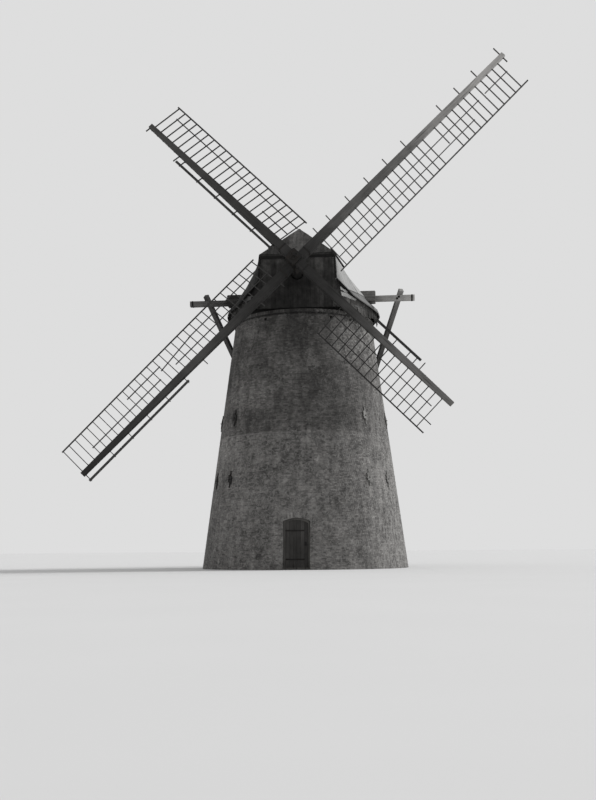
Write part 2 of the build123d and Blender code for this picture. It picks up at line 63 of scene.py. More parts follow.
picture_width = 596
picture_height = 800
axis_pixel = 305.4
horizon_pixel = 549.6
focal_pixels = 960.5
eye_distance = 44.756
eye_height = 0.85
eye_azimuth = radians(4.69)
eye_heading = eye_azimuth - atan((picture_width / 2 - axis_pixel) / focal_pixels)
eye_roll = 0.0077
eye_place = Vector((eye_distance * sin(eye_azimuth), -eye_distance * cos(eye_azimuth), eye_height))


# Places that come from the solids

def node_radius(node, height):
    """Largest distance from the tower's axis of a node's corners at a height."""
    corners = [v.co for v in frame["nodes"][node].data.vertices]
    return max(hypot(co.x, co.y) for co in corners if abs(co.z - height) < 0.002)


def joint(name):
    """One joint of the frame."""
    return next(j for j in frame["joints"] if j["name"] == name)


wall_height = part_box("tower_wall_1")[1].z
wall_foot_radius = node_radius("tower_wall_1", 0)
wall_head_radius = node_radius("tower_wall_1", wall_height)
wall_batter = atan((wall_foot_radius - wall_head_radius) / wall_height)
wall_slices = [f"tower_wall_{number}" for number in range(1, 7)]
hub = Vector(joint("sail_spin")["pos_m"])
shaft_incline = asin(joint("sail_spin")["axis"][2])

# Pieces that come in twos: -1 faces the front or the left, and 1 the back or the right

doors = (("front_door", -1), ("back_door", 1))
gables = (("cap_front_gable", -1), ("cap_back_gable", 1))
hips = (("cap_front_hip", -1), ("cap_back_hip", 1))
roof_sides = (("cap_left_roof", -1), ("cap_right_roof", 1))
skirts = (("cap_left_skirt", -1), ("cap_right_skirt", 1))

# Stocks and poll end, as the solids have them

stock_half_spacing = 0.195
stock_hub_width = 0.38
stock_hub_depth = 0.33
stock_tip_width = 0.20
stock_tip_depth = 0.15
poll_end_half = 0.27
poll_end_front = 0.44
hub_weather = 20


class SailArm(NamedTuple):
    """One half of a stock and the bars of its lattice, numbered from the hub.

    closing is how fast the bars come together towards the tip, and tip_weather the angle in
    degrees that a bar at the tip is turned by. leading gives the bars between which boards
    lie ahead of the stock.
    """

    degrees: float
    depth: float
    length: float
    first_bar: float
    pitch: float
    closing: float
    bars: int
    tip_weather: float
    missing: tuple = ()
    leading: tuple = ()

    def bar_radius(self, number):
        """Distance from the hub to a bar."""
        return self.first_bar + number * self.pitch - number**2 * self.closing

    def weather(self, radius):
        """Angle that a bar is turned by in the stock."""
        return radians(hub_weather + (self.tip_weather - hub_weather) * radius / self.length)


sail_arms = {
    "sail_upper_right": SailArm(
        degrees=45.5, depth=stock_half_spacing, length=12.67, first_bar=1.557, pitch=0.3889,
        closing=0.00073, bars=31, tip_weather=8, missing=(17,)),
    "sail_lower_left": SailArm(
        degrees=225.5, depth=stock_half_spacing, length=12.65, first_bar=1.098, pitch=0.3887,
        closing=0.000625, bars=32, tip_weather=5, leading=(14.8, 31.2)),
    "sail_upper_left": SailArm(
        degrees=135.0, depth=-stock_half_spacing, length=8.88, first_bar=1.057, pitch=0.3693,
        closing=0.00024, bars=22, tip_weather=11, leading=(-0.3, 15.7)),
    "sail_lower_right": SailArm(
        degrees=315.0, depth=-stock_half_spacing, length=9.10, first_bar=2.927, pitch=0.3855,
        closing=0.0003, bars=16, tip_weather=13.5, leading=(3.85, 10.5)),
}


def wall_radius(height):
    """Outer radius of the wall at a height."""
    return wall_foot_radius + (wall_head_radius - wall_foot_radius) * height / wall_height


# Settings

def length_setting(name, description, default):
    """Length that a user can change."""
    return FloatProperty(
        name=name, description=description, default=default, unit="LENGTH", subtype="DISTANCE")


def colour_setting(name, description, default):
    """Colour that a user can change."""
    return FloatVectorProperty(
        name=name, description=description, default=default, size=3, min=0, max=1,
        subtype="COLOR")


class MillBrickwork(PropertyGroup):
    """Sizes of the bricks and their joints."""

    course: length_setting("Course", "Height of one brick and its joint", 0.062)
    length: length_setting("Brick length", "Length of a stretcher", 0.215)
    joint: length_setting("Joint", "Width of a mortar joint", 0.011)
    relief: length_setting("Relief", "How far the bricks stand out of the mortar", 0.009)
    depth: length_setting("Depth", "Depth of each brick as laid in the mortar", 0.032)
    head_brick: length_setting("Head brick", "Width of the upright bricks on the wall head", 0.066)


class MillBoarding(PropertyGroup):
    """Sizes of the boards and the felt."""

    width: length_setting("Board width", "Width of a board", 0.19)
    gap: length_setting("Gap", "Gap between boards", 0.008)
    thickness: length_setting("Board thickness", "Thickness of a board", 0.02)
    felt_width: length_setting("Felt width", "Width of a strip of roofing felt", 0.92)
    felt_thickness: length_setting("Felt thickness", "Thickness of the felt with its tar", 0.009)


class MillIronwork(PropertyGroup):
    """Sizes of bolts, bands and straps."""

    bolt: length_setting("Bolt", "Width of a bolt head across its corners", 0.062)
    band_width: length_setting("Band width", "Width of an iron band round a timber", 0.07)
    band_thickness: length_setting("Band thickness", "Thickness of an iron band", 0.008)


class MillColours(PropertyGroup):
    """Main colours of the surfaces."""

    brick_dark: colour_setting("Dark brick", "Darkest bricks", (0.056, 0.0545, 0.053))
    brick_light: colour_setting("Light brick", "Lightest bricks", (0.146, 0.141, 0.136))
    mortar: colour_setting("Mortar", "Joints between the bricks", (0.118, 0.115, 0.111))
    lime: colour_setting("Lime", "Pale remains on the wall", (0.30, 0.295, 0.285))
    tar: colour_setting("Tarred boards", "Gable and skirt boards", (0.032, 0.0312, 0.0302))
    felt: colour_setting("Felt", "Weathered felt on the roof", (0.268, 0.268, 0.264))
    stock: colour_setting("Stocks", "Timber of the stocks", (0.100, 0.098, 0.0955))
    beam: colour_setting("Beams", "Timber of beams and braces", (0.100, 0.098, 0.0955))
    iron: colour_setting("Iron", "Bands, bolts and anchors", (0.011, 0.0107, 0.0104))


class MillStage(PropertyGroup):
    """Floor, backdrop and light."""

    floor: colour_setting("Floor", "Colour of the floor", (0.57, 0.57, 0.57))
    backdrop: colour_setting("Backdrop", "Colour behind the mill", (0.73, 0.73, 0.73))
    sky_light: FloatProperty(
        name="Sky light", description="Strength of the light from all round", default=0.68, min=0)
    key_light: FloatProperty(
        name="Key light", description="Strength of the soft lamp", default=3.0, min=0)
    key_size: FloatProperty(
        name="Key size", description="Angle that the soft lamp fills", default=radians(14),
        subtype="ANGLE", unit="ROTATION")


# Small closed parts gathered into one mesh

class Pile:
    """Gathers small parts into one mesh and keeps a random tone for each of them."""

    def __init__(self, seed):
        self.mesh = bmesh.new()
        self.tones = []
        self.dice = random.Random(seed)

    def add(self, part, tones=None):
        """Takes over a bmesh; tones is one number for each run of equal faces, or none."""
        bmesh.ops.recalc_face_normals(part, faces=part.faces)
        scratch = bpy.data.meshes.new("scratch")
        part.to_mesh(scratch)
        part.free()
        count = len(scratch.polygons)
        tones = tones or [self.dice.random()]
        for tone in tones:
            self.tones += [tone] * (count // len(tones))
        self.mesh.from_mesh(scratch)
        bpy.data.meshes.remove(scratch)

    def block(self, size, place):
        """Adds a box of that size at a place."""
        part = bmesh.new()
        add_block(part, size, place)
        self.add(part)

    def rod(self, radius, length, sides, place, end_radius=None):
        """Adds a rod that stands along Z and may narrow towards its end."""
        part = bmesh.new()
        bmesh.ops.create_cone(
            part, cap_ends=True, segments=sides, radius1=radius, radius2=end_radius or radius,
            depth=length, matrix=place)
        self.add(part)

    def finish(self, name, finish, body, slot):
        """Makes the piece, which rides on a body."""
        mesh = bpy.data.meshes.new(name)
        self.mesh.to_mesh(mesh)
        self.mesh.free()
        tone = mesh.attributes.new("tone", "FLOAT", "FACE")
        tone.data.foreach_set("value", self.tones)
        mesh.materials.append(finishes[finish])
        piece = bpy.data.objects.new(name, mesh)
        bpy.context.scene.collection.objects.link(piece)
        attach(piece, body)


def add_block(part, size, place):
    """Box of that size, centred on a place."""
    bmesh.ops.create_cube(part, size=1, matrix=place @ Matrix.Diagonal((*size, 1)))


def turned(angle, axis):
    """Rotation about an axis as a 4 by 4 matrix."""
    return Matrix.Rotation(angle, 4, axis)


def moved(x, y, z):
    """Shift as a 4 by 4 matrix."""
    return Matrix.Translation((x, y, z))


def outward(co):
    """Level direction away from the tower's axis at a place."""
    return Vector((co.x, co.y, 0)).normalized()


def everything(part):
    """All the corners, edges and faces of a bmesh."""
    return part.verts[:] + part.edges[:] + part.faces[:]


def merged_copy(node):
    """A node's mesh with the corners of its triangles joined."""
    part = bmesh.new()
    part.from_mesh(frame["nodes"][node].data)
    bmesh.ops.remove_doubles(part, verts=part.verts, dist=0.0001)
    return part


def surface(node, keep):
    """Those faces of a node's mesh that a test on normal and centre keeps."""
    part = merged_copy(node)
    part.normal_update()
    others = [f for f in part.faces if not keep(f.normal, f.calc_center_median())]
    bmesh.ops.delete(part, geom=others, context="FACES")
    return part


def flat_side(node, facing):
    """The faces of a node that look in one direction."""
    return surface(node, lambda normal, centre: normal.dot(facing) > 0.9)


def roof_slope(node, side):
    """The upper faces of a roof side."""
    return surface(node, lambda normal, centre: normal.x * side > 0.2 and normal.z > 0.02)


def cut(part, point, normal):
    """Keeps what lies on the side of a plane that its normal points to."""
    bmesh.ops.bisect_plane(
        part, geom=everything(part), plane_co=point, plane_no=normal, clear_inner=True)


def score(part, point, normal):
    """Divides a part along a plane and keeps both sides."""
    bmesh.ops.bisect_plane(part, geom=everything(part), plane_co=point, plane_no=normal)


def between(source, direction, low, high):
    """Copy of a sheet between two distances along a direction."""
    part = source.copy()
    cut(part, direction * low, direction)
    cut(part, direction * high, -direction)
    return part


def thicken(part, direction, start, thickness):
    """Turns a sheet into a board that stands a start distance off it."""
    bmesh.ops.translate(part, verts=part.verts, vec=direction * start)
    grown = bmesh.ops.extrude_face_region(part, geom=part.faces[:])
    raised = [v for v in grown["geom"] if isinstance(v, bmesh.types.BMVert)]
    bmesh.ops.translate(part, verts=raised, vec=direction * thickness)


# Height of the zone whose corners a ragged board moves, and how far boards stand off

ragged_zone = 0.12
board_lifts = (0.0005, 0.006)


def board_over(pile, source, facing, across, width, ragged=0.0):
    """Covers a flat sheet with boards side by side; ragged moves their lower ends."""
    boarding = bpy.context.scene.mill_boarding
    reach = [v.co.dot(across) for v in source.verts]
    start = min(reach)
    count = max(1, round((max(reach) - start) / width))
    pitch = (max(reach) - start) / count
    down = (-up - facing * (-up).dot(facing)).normalized()
    for index in range(count):
        low = start + index * pitch + boarding.gap / 2
        part = between(source, across, low, low + pitch - boarding.gap)
        if not part.faces:
            part.free()
            continue
        if ragged:
            lowest = max(v.co.dot(down) for v in part.verts)
            for vert in part.verts:
                if vert.co.dot(down) > lowest - ragged_zone:
                    vert.co += down * pile.dice.uniform(-ragged, ragged * 0.3)
        thicken(part, facing, pile.dice.uniform(*board_lifts), boarding.thickness)
        pile.add(part)
    source.free()


# Shader nodes

class Shader:
    """Adds nodes to one node tree and wires them."""

    def __init__(self, tree):
        self.tree = tree

    def feed(self, socket, value):
        """Gives a socket a value or a link."""
        if isinstance(value, bpy.types.NodeSocket):
            self.tree.links.new(value, socket)
        else:
            socket.default_value = value

    def node(self, kind, values=None, **settings):
        """New node; values are by socket name or number."""
        made = self.tree.nodes.new("ShaderNode" + kind)
        for name, value in settings.items():
            setattr(made, name, value)
        for name, value in (values or {}).items():
            self.feed(made.inputs[name], value)
        return made

    def math(self, operation, first, second=0.0):
        """Result of an operation on two values."""
        return self.node("Math", {0: first, 1: second}, operation=operation).outputs[0]

    def plus(self, first, second):
        """Sum of two values."""
        return self.math("ADD", first, second)

    def times(self, first, second):
        """Product of two values."""
        return self.math("MULTIPLY", first, second)

    def larger(self, first, second):
        """The larger of two values."""
        return self.math("MAXIMUM", first, second)

    def mix(self, factor, first, second, blend="MIX"):
        """Mixed colour."""
        values = {0: factor, 6: first, 7: second}
        return self.node("Mix", values, data_type="RGBA", blend_type=blend).outputs[2]

    def spread(self, value, low, high, to_low=0.0, to_high=1.0):
        """Value spread from one range to another, and held at its ends."""
        ends = {0: value, 1: low, 2: high, 3: to_low, 4: to_high}
        return self.node("MapRange", ends).outputs[0]

    def profile(self, value, stops):
        """Value that runs straight from stop to stop, each a (place, level) pair."""
        total = stops[0][1]
        for (start, low), (end, high) in zip(stops, stops[1:]):
            total = self.plus(total, self.spread(value, start, end, 0.0, high - low))
        return total

    def axes(self, vector):
        """X, Y and Z of a vector."""
        return self.node("SeparateXYZ", {0: vector}).outputs

    def vector(self, x, y, z=0.0):
        """Vector from its parts."""
        return self.node("CombineXYZ", {0: x, 1: y, 2: z}).outputs[0]

    def length(self, vector):
        """Length of a vector."""
        return self.node("VectorMath", {0: vector}, operation="LENGTH").outputs["Value"]

    def part_tone(self):
        """Random tone that each small part was given."""
        return self.node("Attribute", attribute_name="tone").outputs["Fac"]

    def spot(self, across, height, middle, half):
        """Soft round or oval mask on an upright plane."""
        reach = 4
        parts = [
            self.spread(value, centre - reach * size, centre + reach * size, -reach, reach)
            for value, centre, size in zip((across, height), middle, half)
        ]
        return self.spread(self.length(self.vector(*parts)), 1.3, 0.3)

    def stretch(self, vector, scale, rotation=(0, 0, 0)):
        """Vector turned and scaled."""
        values = {"Vector": vector, "Scale": scale, "Rotation": rotation}
        return self.node("Mapping", values).outputs[0]

    def noise(self, vector, scale, detail=2.0, roughness=0.5, distortion=0.0):
        """Soft noise from 0 to 1."""
        values = {"Vector": vector, "Scale": scale, "Detail": detail, "Roughness": roughness,
                  "Distortion": distortion}
        return self.node("TexNoise", values).outputs[0]

    def scaled(self, colour, factor):
        """Colour times a value."""
        return self.mix(1.0, colour, self.vector(factor, factor, factor), "MULTIPLY")


def node_group(name, inputs, outputs):
    """Empty shader node group of float sockets; an input with no default takes a vector."""
    tree = bpy.data.node_groups.new(name, "ShaderNodeTree")
    for label, default in inputs.items():
        kind = "NodeSocketVector" if default is None else "NodeSocketFloat"
        socket = tree.interface.new_socket(label, in_out="INPUT", socket_type=kind)
        if default is not None:
            socket.default_value = default
    for label in outputs:
        tree.interface.new_socket(label, in_out="OUTPUT", socket_type="NodeSocketFloat")
    inlet = tree.nodes.new("NodeGroupInput")
    outlet = tree.nodes.new("NodeGroupOutput")
    return Shader(tree), inlet.outputs, outlet.inputs


def grain_group():
    """Timber grain along X: light and dark fibres, and open cracks."""
    shader, given, result = node_group(
        "timber grain", {"Vector": None, "Fineness": 1.0}, ("Tone", "Height"))
    vector = shader.node("VectorMath", {0: given["Vector"]}, operation="SCALE")
    shader.feed(vector.inputs["Scale"], given["Fineness"])
    vector = vector.outputs[0]
    fibres = shader.noise(shader.stretch(vector, (0.9, 24, 24)), 1.0, 4.0, 0.65)
    cracks = shader.noise(shader.stretch(vector, (0.7, 16, 16)), 1.0, 2.0, 0.5)
    stains = shader.noise(vector, 1.6, 3.0, 0.6)
    crack = shader.spread(cracks, 0.66, 0.72)
    tone = shader.plus(shader.times(fibres, 0.55), shader.times(stains, 0.6))
    tone = shader.math("SUBTRACT", tone, shader.times(crack, 0.35))
    height = shader.math("SUBTRACT", fibres, shader.times(crack, 1.6))
    shader.feed(result["Tone"], shader.spread(tone, 0.3, 0.85))
    shader.feed(result["Height"], height)


# Darker and paler areas on the wall's front: X and Z of the middle, half sizes, and tone; the pale
# areas at X 2.9 and 3.4 are painted light on the right side

wall_areas = (
    ((0.15, 10.3), (0.8, 1.3), 0.60), ((1.0, 8.2), (1.0, 0.8), 0.80),
    ((0.3, 6.9), (0.7, 1.3), 0.82), ((-3.3, 8.5), (0.22, 0.8), 0.62),
    ((-2.87, 6.6), (0.22, 0.42), 0.5), ((-2.3, 7.0), (0.8, 0.5), 0.85),
    ((-2.1, 9.0), (0.4, 0.3), 1.5), ((-1.9, 7.9), (0.9, 0.8), 1.55),
    ((-3.4, 6.0), (0.7, 1.6), 1.4), ((2.9, 7.3), (1.0, 1.5), 1.2),
    ((2.3, 10.0), (0.9, 0.8), 1.2), ((-2.4, 10.6), (0.5, 0.4), 1.2),
    ((1.4, 7.9), (0.8, 0.9), 0.80), ((-2.9, 7.5), (0.7, 0.6), 1.22),
    ((3.4, 4.6), (0.9, 1.5), 1.22), ((0.2, 11.2), (1.7, 0.2), 0.62),
    ((-1.8, 7.4), (0.9, 0.6), 1.45), ((2.0, 6.6), (0.7, 0.5), 0.78),
    ((0.0, 10.9), (2.6, 0.5), 0.88),
)
rough_zone_edge = (5.80, 5.92)
lime_line_foot = (5.82, 5.85)
lime_line_head = (5.88, 5.91)
ring_shadow_foot = (11.05, 11.09)
ring_shadow_head = (11.145, 11.155)


def strip_mask(shader, height, foot, head):
    """Mask of a level strip; foot and head are the spans over which it fades in and out."""
    return shader.times(shader.spread(height, *foot), shader.spread(height, *reversed(head)))


def wall_tone(shader, vector, low):
    """How dark or pale the wall is: broad areas, patches, runs and blots, with painted light on the
    right and a painted shadow under the head ring.
    """
    x, y, z = shader.axes(vector)
    broad = shader.spread(shader.noise(vector, 0.5, 3.0, 0.55), 0.3, 0.7, 0.67, 1.06)
    patches = shader.spread(shader.noise(vector, 1.9, 6.0, 0.68), 0.3, 0.7, 0.66, 1.34)
    runs = shader.noise(shader.stretch(vector, (3.4, 3.4, 0.35)), 1.0, 3.0, 0.6)
    runs = shader.spread(runs, 0.35, 0.7, 1.26, 0.70)
    blots = shader.spread(shader.noise(vector, 6.5, 5.0, 0.7), 0.34, 0.66, 0.76, 1.24)
    tone = shader.times(shader.times(shader.times(broad, patches), runs), blots)
    front = shader.spread(y, 0.4, -0.8)
    for middle, half, level in wall_areas:
        mask = shader.times(shader.spot(x, z, middle, half), front)
        tone = shader.times(tone, shader.spread(mask, 0, 1, 1.0, level))
    tone = shader.times(tone, shader.spread(low, 0, 1, 1.0, 1.36))
    # Painted shadow in a strip just under the head ring
    below_ring = strip_mask(shader, z, ring_shadow_foot, ring_shadow_head)
    return shader.times(tone, shader.spread(below_ring, 0, 1, 1.0, 0.35))


def wall_lime(shader, vector, low, flecks):
    """Where lime is left: flecks, drips on the right, and the edge of the rough zone."""
    x, _, z = shader.axes(vector)
    area = shader.spread(shader.noise(vector, 0.8, 3.0, 0.6), 0.48, 0.64)
    limed_side = shader.times(shader.spread(x, 1.0, 2.2), shader.spread(z, 8.4, 9.4))
    limed_side = shader.larger(limed_side, shader.spread(x, 2.4, 4.2))
    area = shader.larger(shader.times(area, 0.45), limed_side)
    drips = shader.noise(shader.stretch(vector, (8.0, 8.0, 0.7)), 1.0, 3.0, 0.6)
    drips = shader.times(shader.spread(drips, 0.5, 0.6), shader.spread(x, 2.7, 3.5, 0.0, 0.7))
    lime = shader.times(flecks, area)
    lime = shader.larger(lime, shader.times(flecks, shader.times(low, 0.52)))
    lime = shader.larger(lime, drips)
    line = strip_mask(shader, z, lime_line_foot, lime_line_head)
    return shader.larger(lime, shader.times(line, shader.spread(x, 0.5, -2.5, 0.12, 0.5)))


def weather_and_shade_group():
    """Weather and painted light and shade on the wall: dark and pale areas, among them painted
    light on the right and a painted shadow under the head ring, lime remains, and the rougher lower
    zone.
    """
    shader, given, result = node_group("wall weather and shade", {"Vector": None}, ("Tone", "Lime", "Height"))
    vector = given["Vector"]
    ripple = shader.noise(vector, 1.3, 3.0, 0.6)
    edge = shader.plus(shader.axes(vector)[2], shader.spread(ripple, 0.3, 0.7, -0.12, 0.12))
    low = shader.spread(edge, *rough_zone_edge, 1.0, 0.0)
    flecks = shader.spread(shader.noise(vector, 4.2, 6.0, 0.74, 1.6), 0.49, 0.58)
    pits = shader.noise(vector, 34.0, 3.0, 0.6)
    shader.feed(result["Tone"], wall_tone(shader, vector, low))
    shader.feed(result["Lime"], wall_lime(shader, vector, low, flecks))
    shader.feed(result["Height"], shader.plus(pits, shader.times(flecks, 0.5)))


def rust_group():
    """Rust on iron: brown patches and pitting."""
    shader, given, result = node_group("rust", {"Vector": None}, ("Rust", "Height"))
    patches = shader.spread(shader.noise(given["Vector"], 4.5, 5.0, 0.65), 0.42, 0.62)
    pits = shader.noise(given["Vector"], 60.0, 3.0, 0.6)
    shader.feed(result["Rust"], patches)
    shader.feed(result["Height"], shader.plus(pits, patches))


# Kinds of finish

finishes = {}


class Finish(Shader):
    """New material, kept by its name, that is patterned by Object coordinates."""

    def __init__(self, name):
        material = bpy.data.materials.new(name)
        material.use_nodes = True
        super().__init__(material.node_tree)
        finishes[name] = material
        self.principled = material.node_tree.nodes["Principled BSDF"].inputs
        self.place = self.node("TexCoord").outputs["Object"]

    def group(self, name, vector, **values):
        """Outputs of a node group placed in the material."""
        node = self.node("Group")
        node.node_tree = bpy.data.node_groups[name]
        for label, value in {"Vector": vector, **values}.items():
            self.feed(node.inputs[label], value)
        return node.outputs

    def skin(self, colour, roughness, specular):
        """Feeds the colour and the sheen of the surface."""
        self.feed(self.principled["Base Color"], colour)
        self.feed(self.principled["Roughness"], roughness)
        self.feed(self.principled["Specular IOR Level"], specular)

    def relief(self, height, strength, distance):
        """Feeds a height to the surface through a Bump node."""
        values = {"Height": height, "Strength": strength, "Distance": distance}
        self.feed(self.principled["Normal"], self.node("Bump", values).outputs[0])


def opaque(colour):
    """Colour with full alpha."""
    return (*colour[:3], 1.0)


def shade(colour, level):
    """Colour made darker or paler."""
    return tuple(min(1.0, channel * level) for channel in colour)


# The bond drawn inside the wall, and how far the laid face may lie inside the solid

bond_radius = 3.6
bond_joint = 0.006
bond_length = 0.225
bond_height = 0.062
face_margin = 0.004


def drawn_bond(shader, dark, light, mortar):
    """Brick bond on the inside of the wall, and plain mortar on the outside."""
    x, y, z = shader.axes(shader.place)
    flat = shader.vector(shader.times(shader.math("ARCTAN2", y, x), bond_radius), z)
    bond = shader.node("TexBrick", {
        "Vector": flat, "Color1": opaque(dark), "Color2": opaque(light), "Mortar": opaque(mortar),
        "Scale": 1.0, "Mortar Size": bond_joint, "Brick Width": bond_length,
        "Row Height": bond_height})
    slope = (wall_head_radius - wall_foot_radius) / wall_height
    face = shader.plus(shader.times(z, slope), wall_foot_radius - face_margin)
    level = shader.length(shader.stretch(shader.place, (1, 1, 0)))
    outside = shader.math("GREATER_THAN", level, face)
    return shader.mix(outside, bond.outputs["Color"], opaque(mortar))


def masonry_finish(name, dark, light, laid):
    """Brick faces whose tone differs from brick to brick, or a drawn bond if none are laid."""
    colours = bpy.context.scene.mill_colours
    shader = Finish(name)
    weather = shader.group("wall weather and shade", shader.place)
    if laid:
        fine = shader.noise(shader.place, 22.0, 3.0, 0.6)
        tone = shader.spread(shader.plus(shader.part_tone(), fine), 0.35, 1.55)
        brick = shader.mix(tone, opaque(dark), opaque(light))
    else:
        brick = drawn_bond(shader, dark, light, colours.mortar)
    # The wall's tone carries painted light and shadow besides the weather
    colour = shader.scaled(brick, weather["Tone"])
    colour = shader.mix(shader.times(weather["Lime"], 0.75), colour, opaque(colours.lime))
    shader.skin(colour, 0.92, 0.25)
    shader.relief(weather["Height"], 0.5, 0.006)


def timber_finish(name, colour, along=right, contrast=0.55, boards=False, fineness=1.0, shades=(),
                  mottle=0.0):
    """Weathered timber with its grain along a direction; boards differ in tone.

    shades lists (axis, stops) pairs that change the tone along an axis of the object; most of them
    paint light and shade.
    """
    shader = Finish(name)
    turn = Vector(along).rotation_difference(right).to_euler()
    vector = shader.stretch(shader.place, (1, 1, 1), turn)
    if boards:
        tone = shader.part_tone()
        shift = shader.times(tone, 37.0)
        shift = shader.vector(shift, shift, shift)
        vector = shader.node("VectorMath", {0: vector, 1: shift}, operation="ADD").outputs[0]
    grain = shader.group("timber grain", vector, Fineness=fineness)
    dark = shade(colour, 1 - contrast)
    light = shade(colour, 1 + contrast)
    mixed = shader.mix(grain["Tone"], opaque(dark), opaque(light))
    if boards:
        mixed = shader.scaled(mixed, shader.spread(tone, 0, 1, 0.72, 1.3))
    for axis, stops in shades:
        mixed = shader.scaled(mixed, shader.profile(shader.axes(shader.place)[axis], stops))
    if mottle:
        blots = shader.noise(shader.place, 3.2, 5.0, 0.7)
        mixed = shader.scaled(mixed, shader.spread(blots, 0.32, 0.68, 1 - mottle, 1 + mottle))
    shader.skin(mixed, 0.82, 0.15)
    shader.relief(grain["Height"], 0.5, 0.006)


def iron_finish(name, colour, limed=None):
    """Old iron, dark where it is sound and brown where it rusts.

    limed is the span along X over which it passes into iron that was limed over with the wall.
    """
    shader = Finish(name)
    rust = shader.group("rust", shader.place)
    rusty = (colour[0] * 1.55, colour[1] * 1.35, colour[2] * 1.22)
    metal = shader.mix(rust["Rust"], opaque(colour), opaque(rusty))
    if limed:
        covered = shader.spread(shader.axes(shader.place)[0], *limed, 0.0, 0.85)
        metal = shader.mix(covered, metal, opaque(limed_iron))
    shader.skin(metal, shader.spread(rust["Rust"], 0, 1, 0.5, 0.9), 0.2)
    shader.feed(shader.principled["Metallic"], shader.spread(rust["Rust"], 0, 1, 0.25, 0.0))
    shader.relief(rust["Height"], 0.35, 0.002)


def felt_finish(name, colour):
    """Tarred and weathered felt, bleached on the right; the left side is painted shade, nearly
    black, and a painted shadow line marks the lap.
    """
    shader = Finish(name)
    x, _, z = shader.axes(shader.place)
    streaks = shader.noise(shader.stretch(shader.place, (0.7, 7.0, 0.7)), 1.0, 4.0, 0.6)
    bloom = shader.noise(shader.place, 1.7, 5.0, 0.65)
    level = shader.times(shader.spread(streaks, 0.3, 0.7, 0.84, 1.12),
                         shader.spread(bloom, 0.3, 0.7, 0.80, 1.16))
    level = shader.times(level, shader.spread(shader.part_tone(), 0, 1, 0.9, 1.08))
    wander = shader.spread(bloom, 0.3, 0.7, -0.02, 0.02)
    # Painted shadow line at the lap of the felt, with darker felt below it
    level = shader.times(level, shader.profile(shader.plus(z, wander), felt_lap_painted_shadow))
    # Painted shade: the left side of the roof, away from the light, is made nearly black
    left = shader.spread(x, -0.4, 0.5, 1.0, 0.0)
    blots = shader.spread(shader.noise(shader.place, 3.6, 5.0, 0.7), 0.35, 0.65, 0.065, 0.16)
    painted_left_shade = shader.plus(shader.times(left, blots), shader.math("SUBTRACT", 1.0, left))
    shader.skin(shader.scaled(opaque(colour), shader.times(level, painted_left_shade)), 0.8, 0.2)
    grit = shader.noise(shader.place, 90.0, 2.0, 0.5)
    shader.relief(shader.plus(grit, shader.times(bloom, 2.0)), 0.3, 0.004)


# Tones along X (axis 0) or Z (axis 2), as stops of place and level; most of them are painted light
# and shade

# Painted light and shade on the gable: darkest low down, with a painted pool of light towards the
# right
gable_light_and_shade = (
    (2, ((11.4, 0.62), (12.1, 0.75), (12.6, 0.66), (13.4, 1.6))),
    (0, ((-1.4, 1.15), (-0.5, 0.9), (0.4, 1.0), (1.2, 1.55))),
)
hip_shades = (
    (0, ((-1.5, 0.78), (-0.8, 0.58), (-0.3, 1.12), (0.4, 1.15), (0.9, 0.92), (1.5, 0.5))),
)
# Painted light and shade on the skirt: dark on the left, pale on the right where the light falls,
# and a painted shadow along its top under the eave
skirt_light_and_shade = (
    (0, ((-2.6, 0.45), (-1.5, 0.36), (1.6, 0.5), (2.0, 1.1), (2.8, 1.3), (3.05, 0.5))),
    (2, ((11.78, 2.0), (11.92, 0.65))),
)
# Painted light and shade on the beam boxes: dark on the left, pale on the right
box_light_and_shade = (
    (0, ((-2.4, 0.55), (2.4, 2.6), (3.3, 3.0))),
)
# Painted light and shade on the cross-beams: darkest just left of the cap, much paler out to the
# right
beam_light_and_shade = (
    (0, ((-5.0, 1.3), (-4.2, 0.85), (-3.3, 0.42), (-2.4, 0.18), (2.4, 1.3), (3.3, 1.9),
         (3.7, 3.0), (4.3, 3.4), (5.0, 4.0))),
)
# Painted light on the right brace: paler towards its top
brace_light_and_shade = {
    "right_long_brace": ((2, ((10.9, 0.85), (11.6, 1.5), (12.3, 2.3))),),
}
# Painted light and shade on the stocks: darkest near the hub, much paler out towards the right-hand
# tips
stock_light_and_shade = {
    "sail_upper_right": (
        (0, ((-8.3, 0.29), (-7.1, 0.43), (-6.0, 0.53), (-4.9, 0.56), (-3.9, 0.68), (-3.2, 0.58),
             (-2.1, 0.36), (-1.5, 0.34), (-0.4, 0.25), (0.4, 0.36), (1.0, 0.45), (1.5, 0.76),
             (2.1, 1.12), (3.8, 1.25), (4.4, 1.49), (4.9, 1.75), (5.5, 2.4), (7.1, 3.4),
             (8.3, 4.3))),
    ),
    "sail_upper_left": (
        (0, ((-5.5, 0.68), (-3.3, 0.50), (-1.6, 0.44), (-0.4, 0.33), (0.4, 0.27), (1.5, 0.31),
             (2.1, 0.43), (2.7, 0.55), (3.2, 0.81), (3.8, 1.12), (4.3, 1.35), (5.4, 1.5))),
    ),
}
# Painted shadow line where the upper felt laps over the lower, and darker felt below it
felt_lap_painted_shadow = (
    (12.05, 0.56), (12.075, 0.25), (12.10, 0.25), (12.125, 1.16), (12.9, 1.12), (13.6, 1.0))

# Tones of the lattices and of the braces and tail, beside those of the stocks and beams; the darker
# left brace is painted shade

lattice_levels = {
    "sail_upper_right": 0.85, "sail_lower_left": 0.5, "sail_upper_left": 0.42,
    "sail_lower_right": 0.32,
}
brace_shade_levels = {"left_long_brace": 0.7, "right_long_brace": 1.0, "tail_pole": 0.9}
brace_slants = {"left_long_brace": 1, "right_long_brace": -1, "tail_pole": 0}

# Colours of the timbers and irons that show little

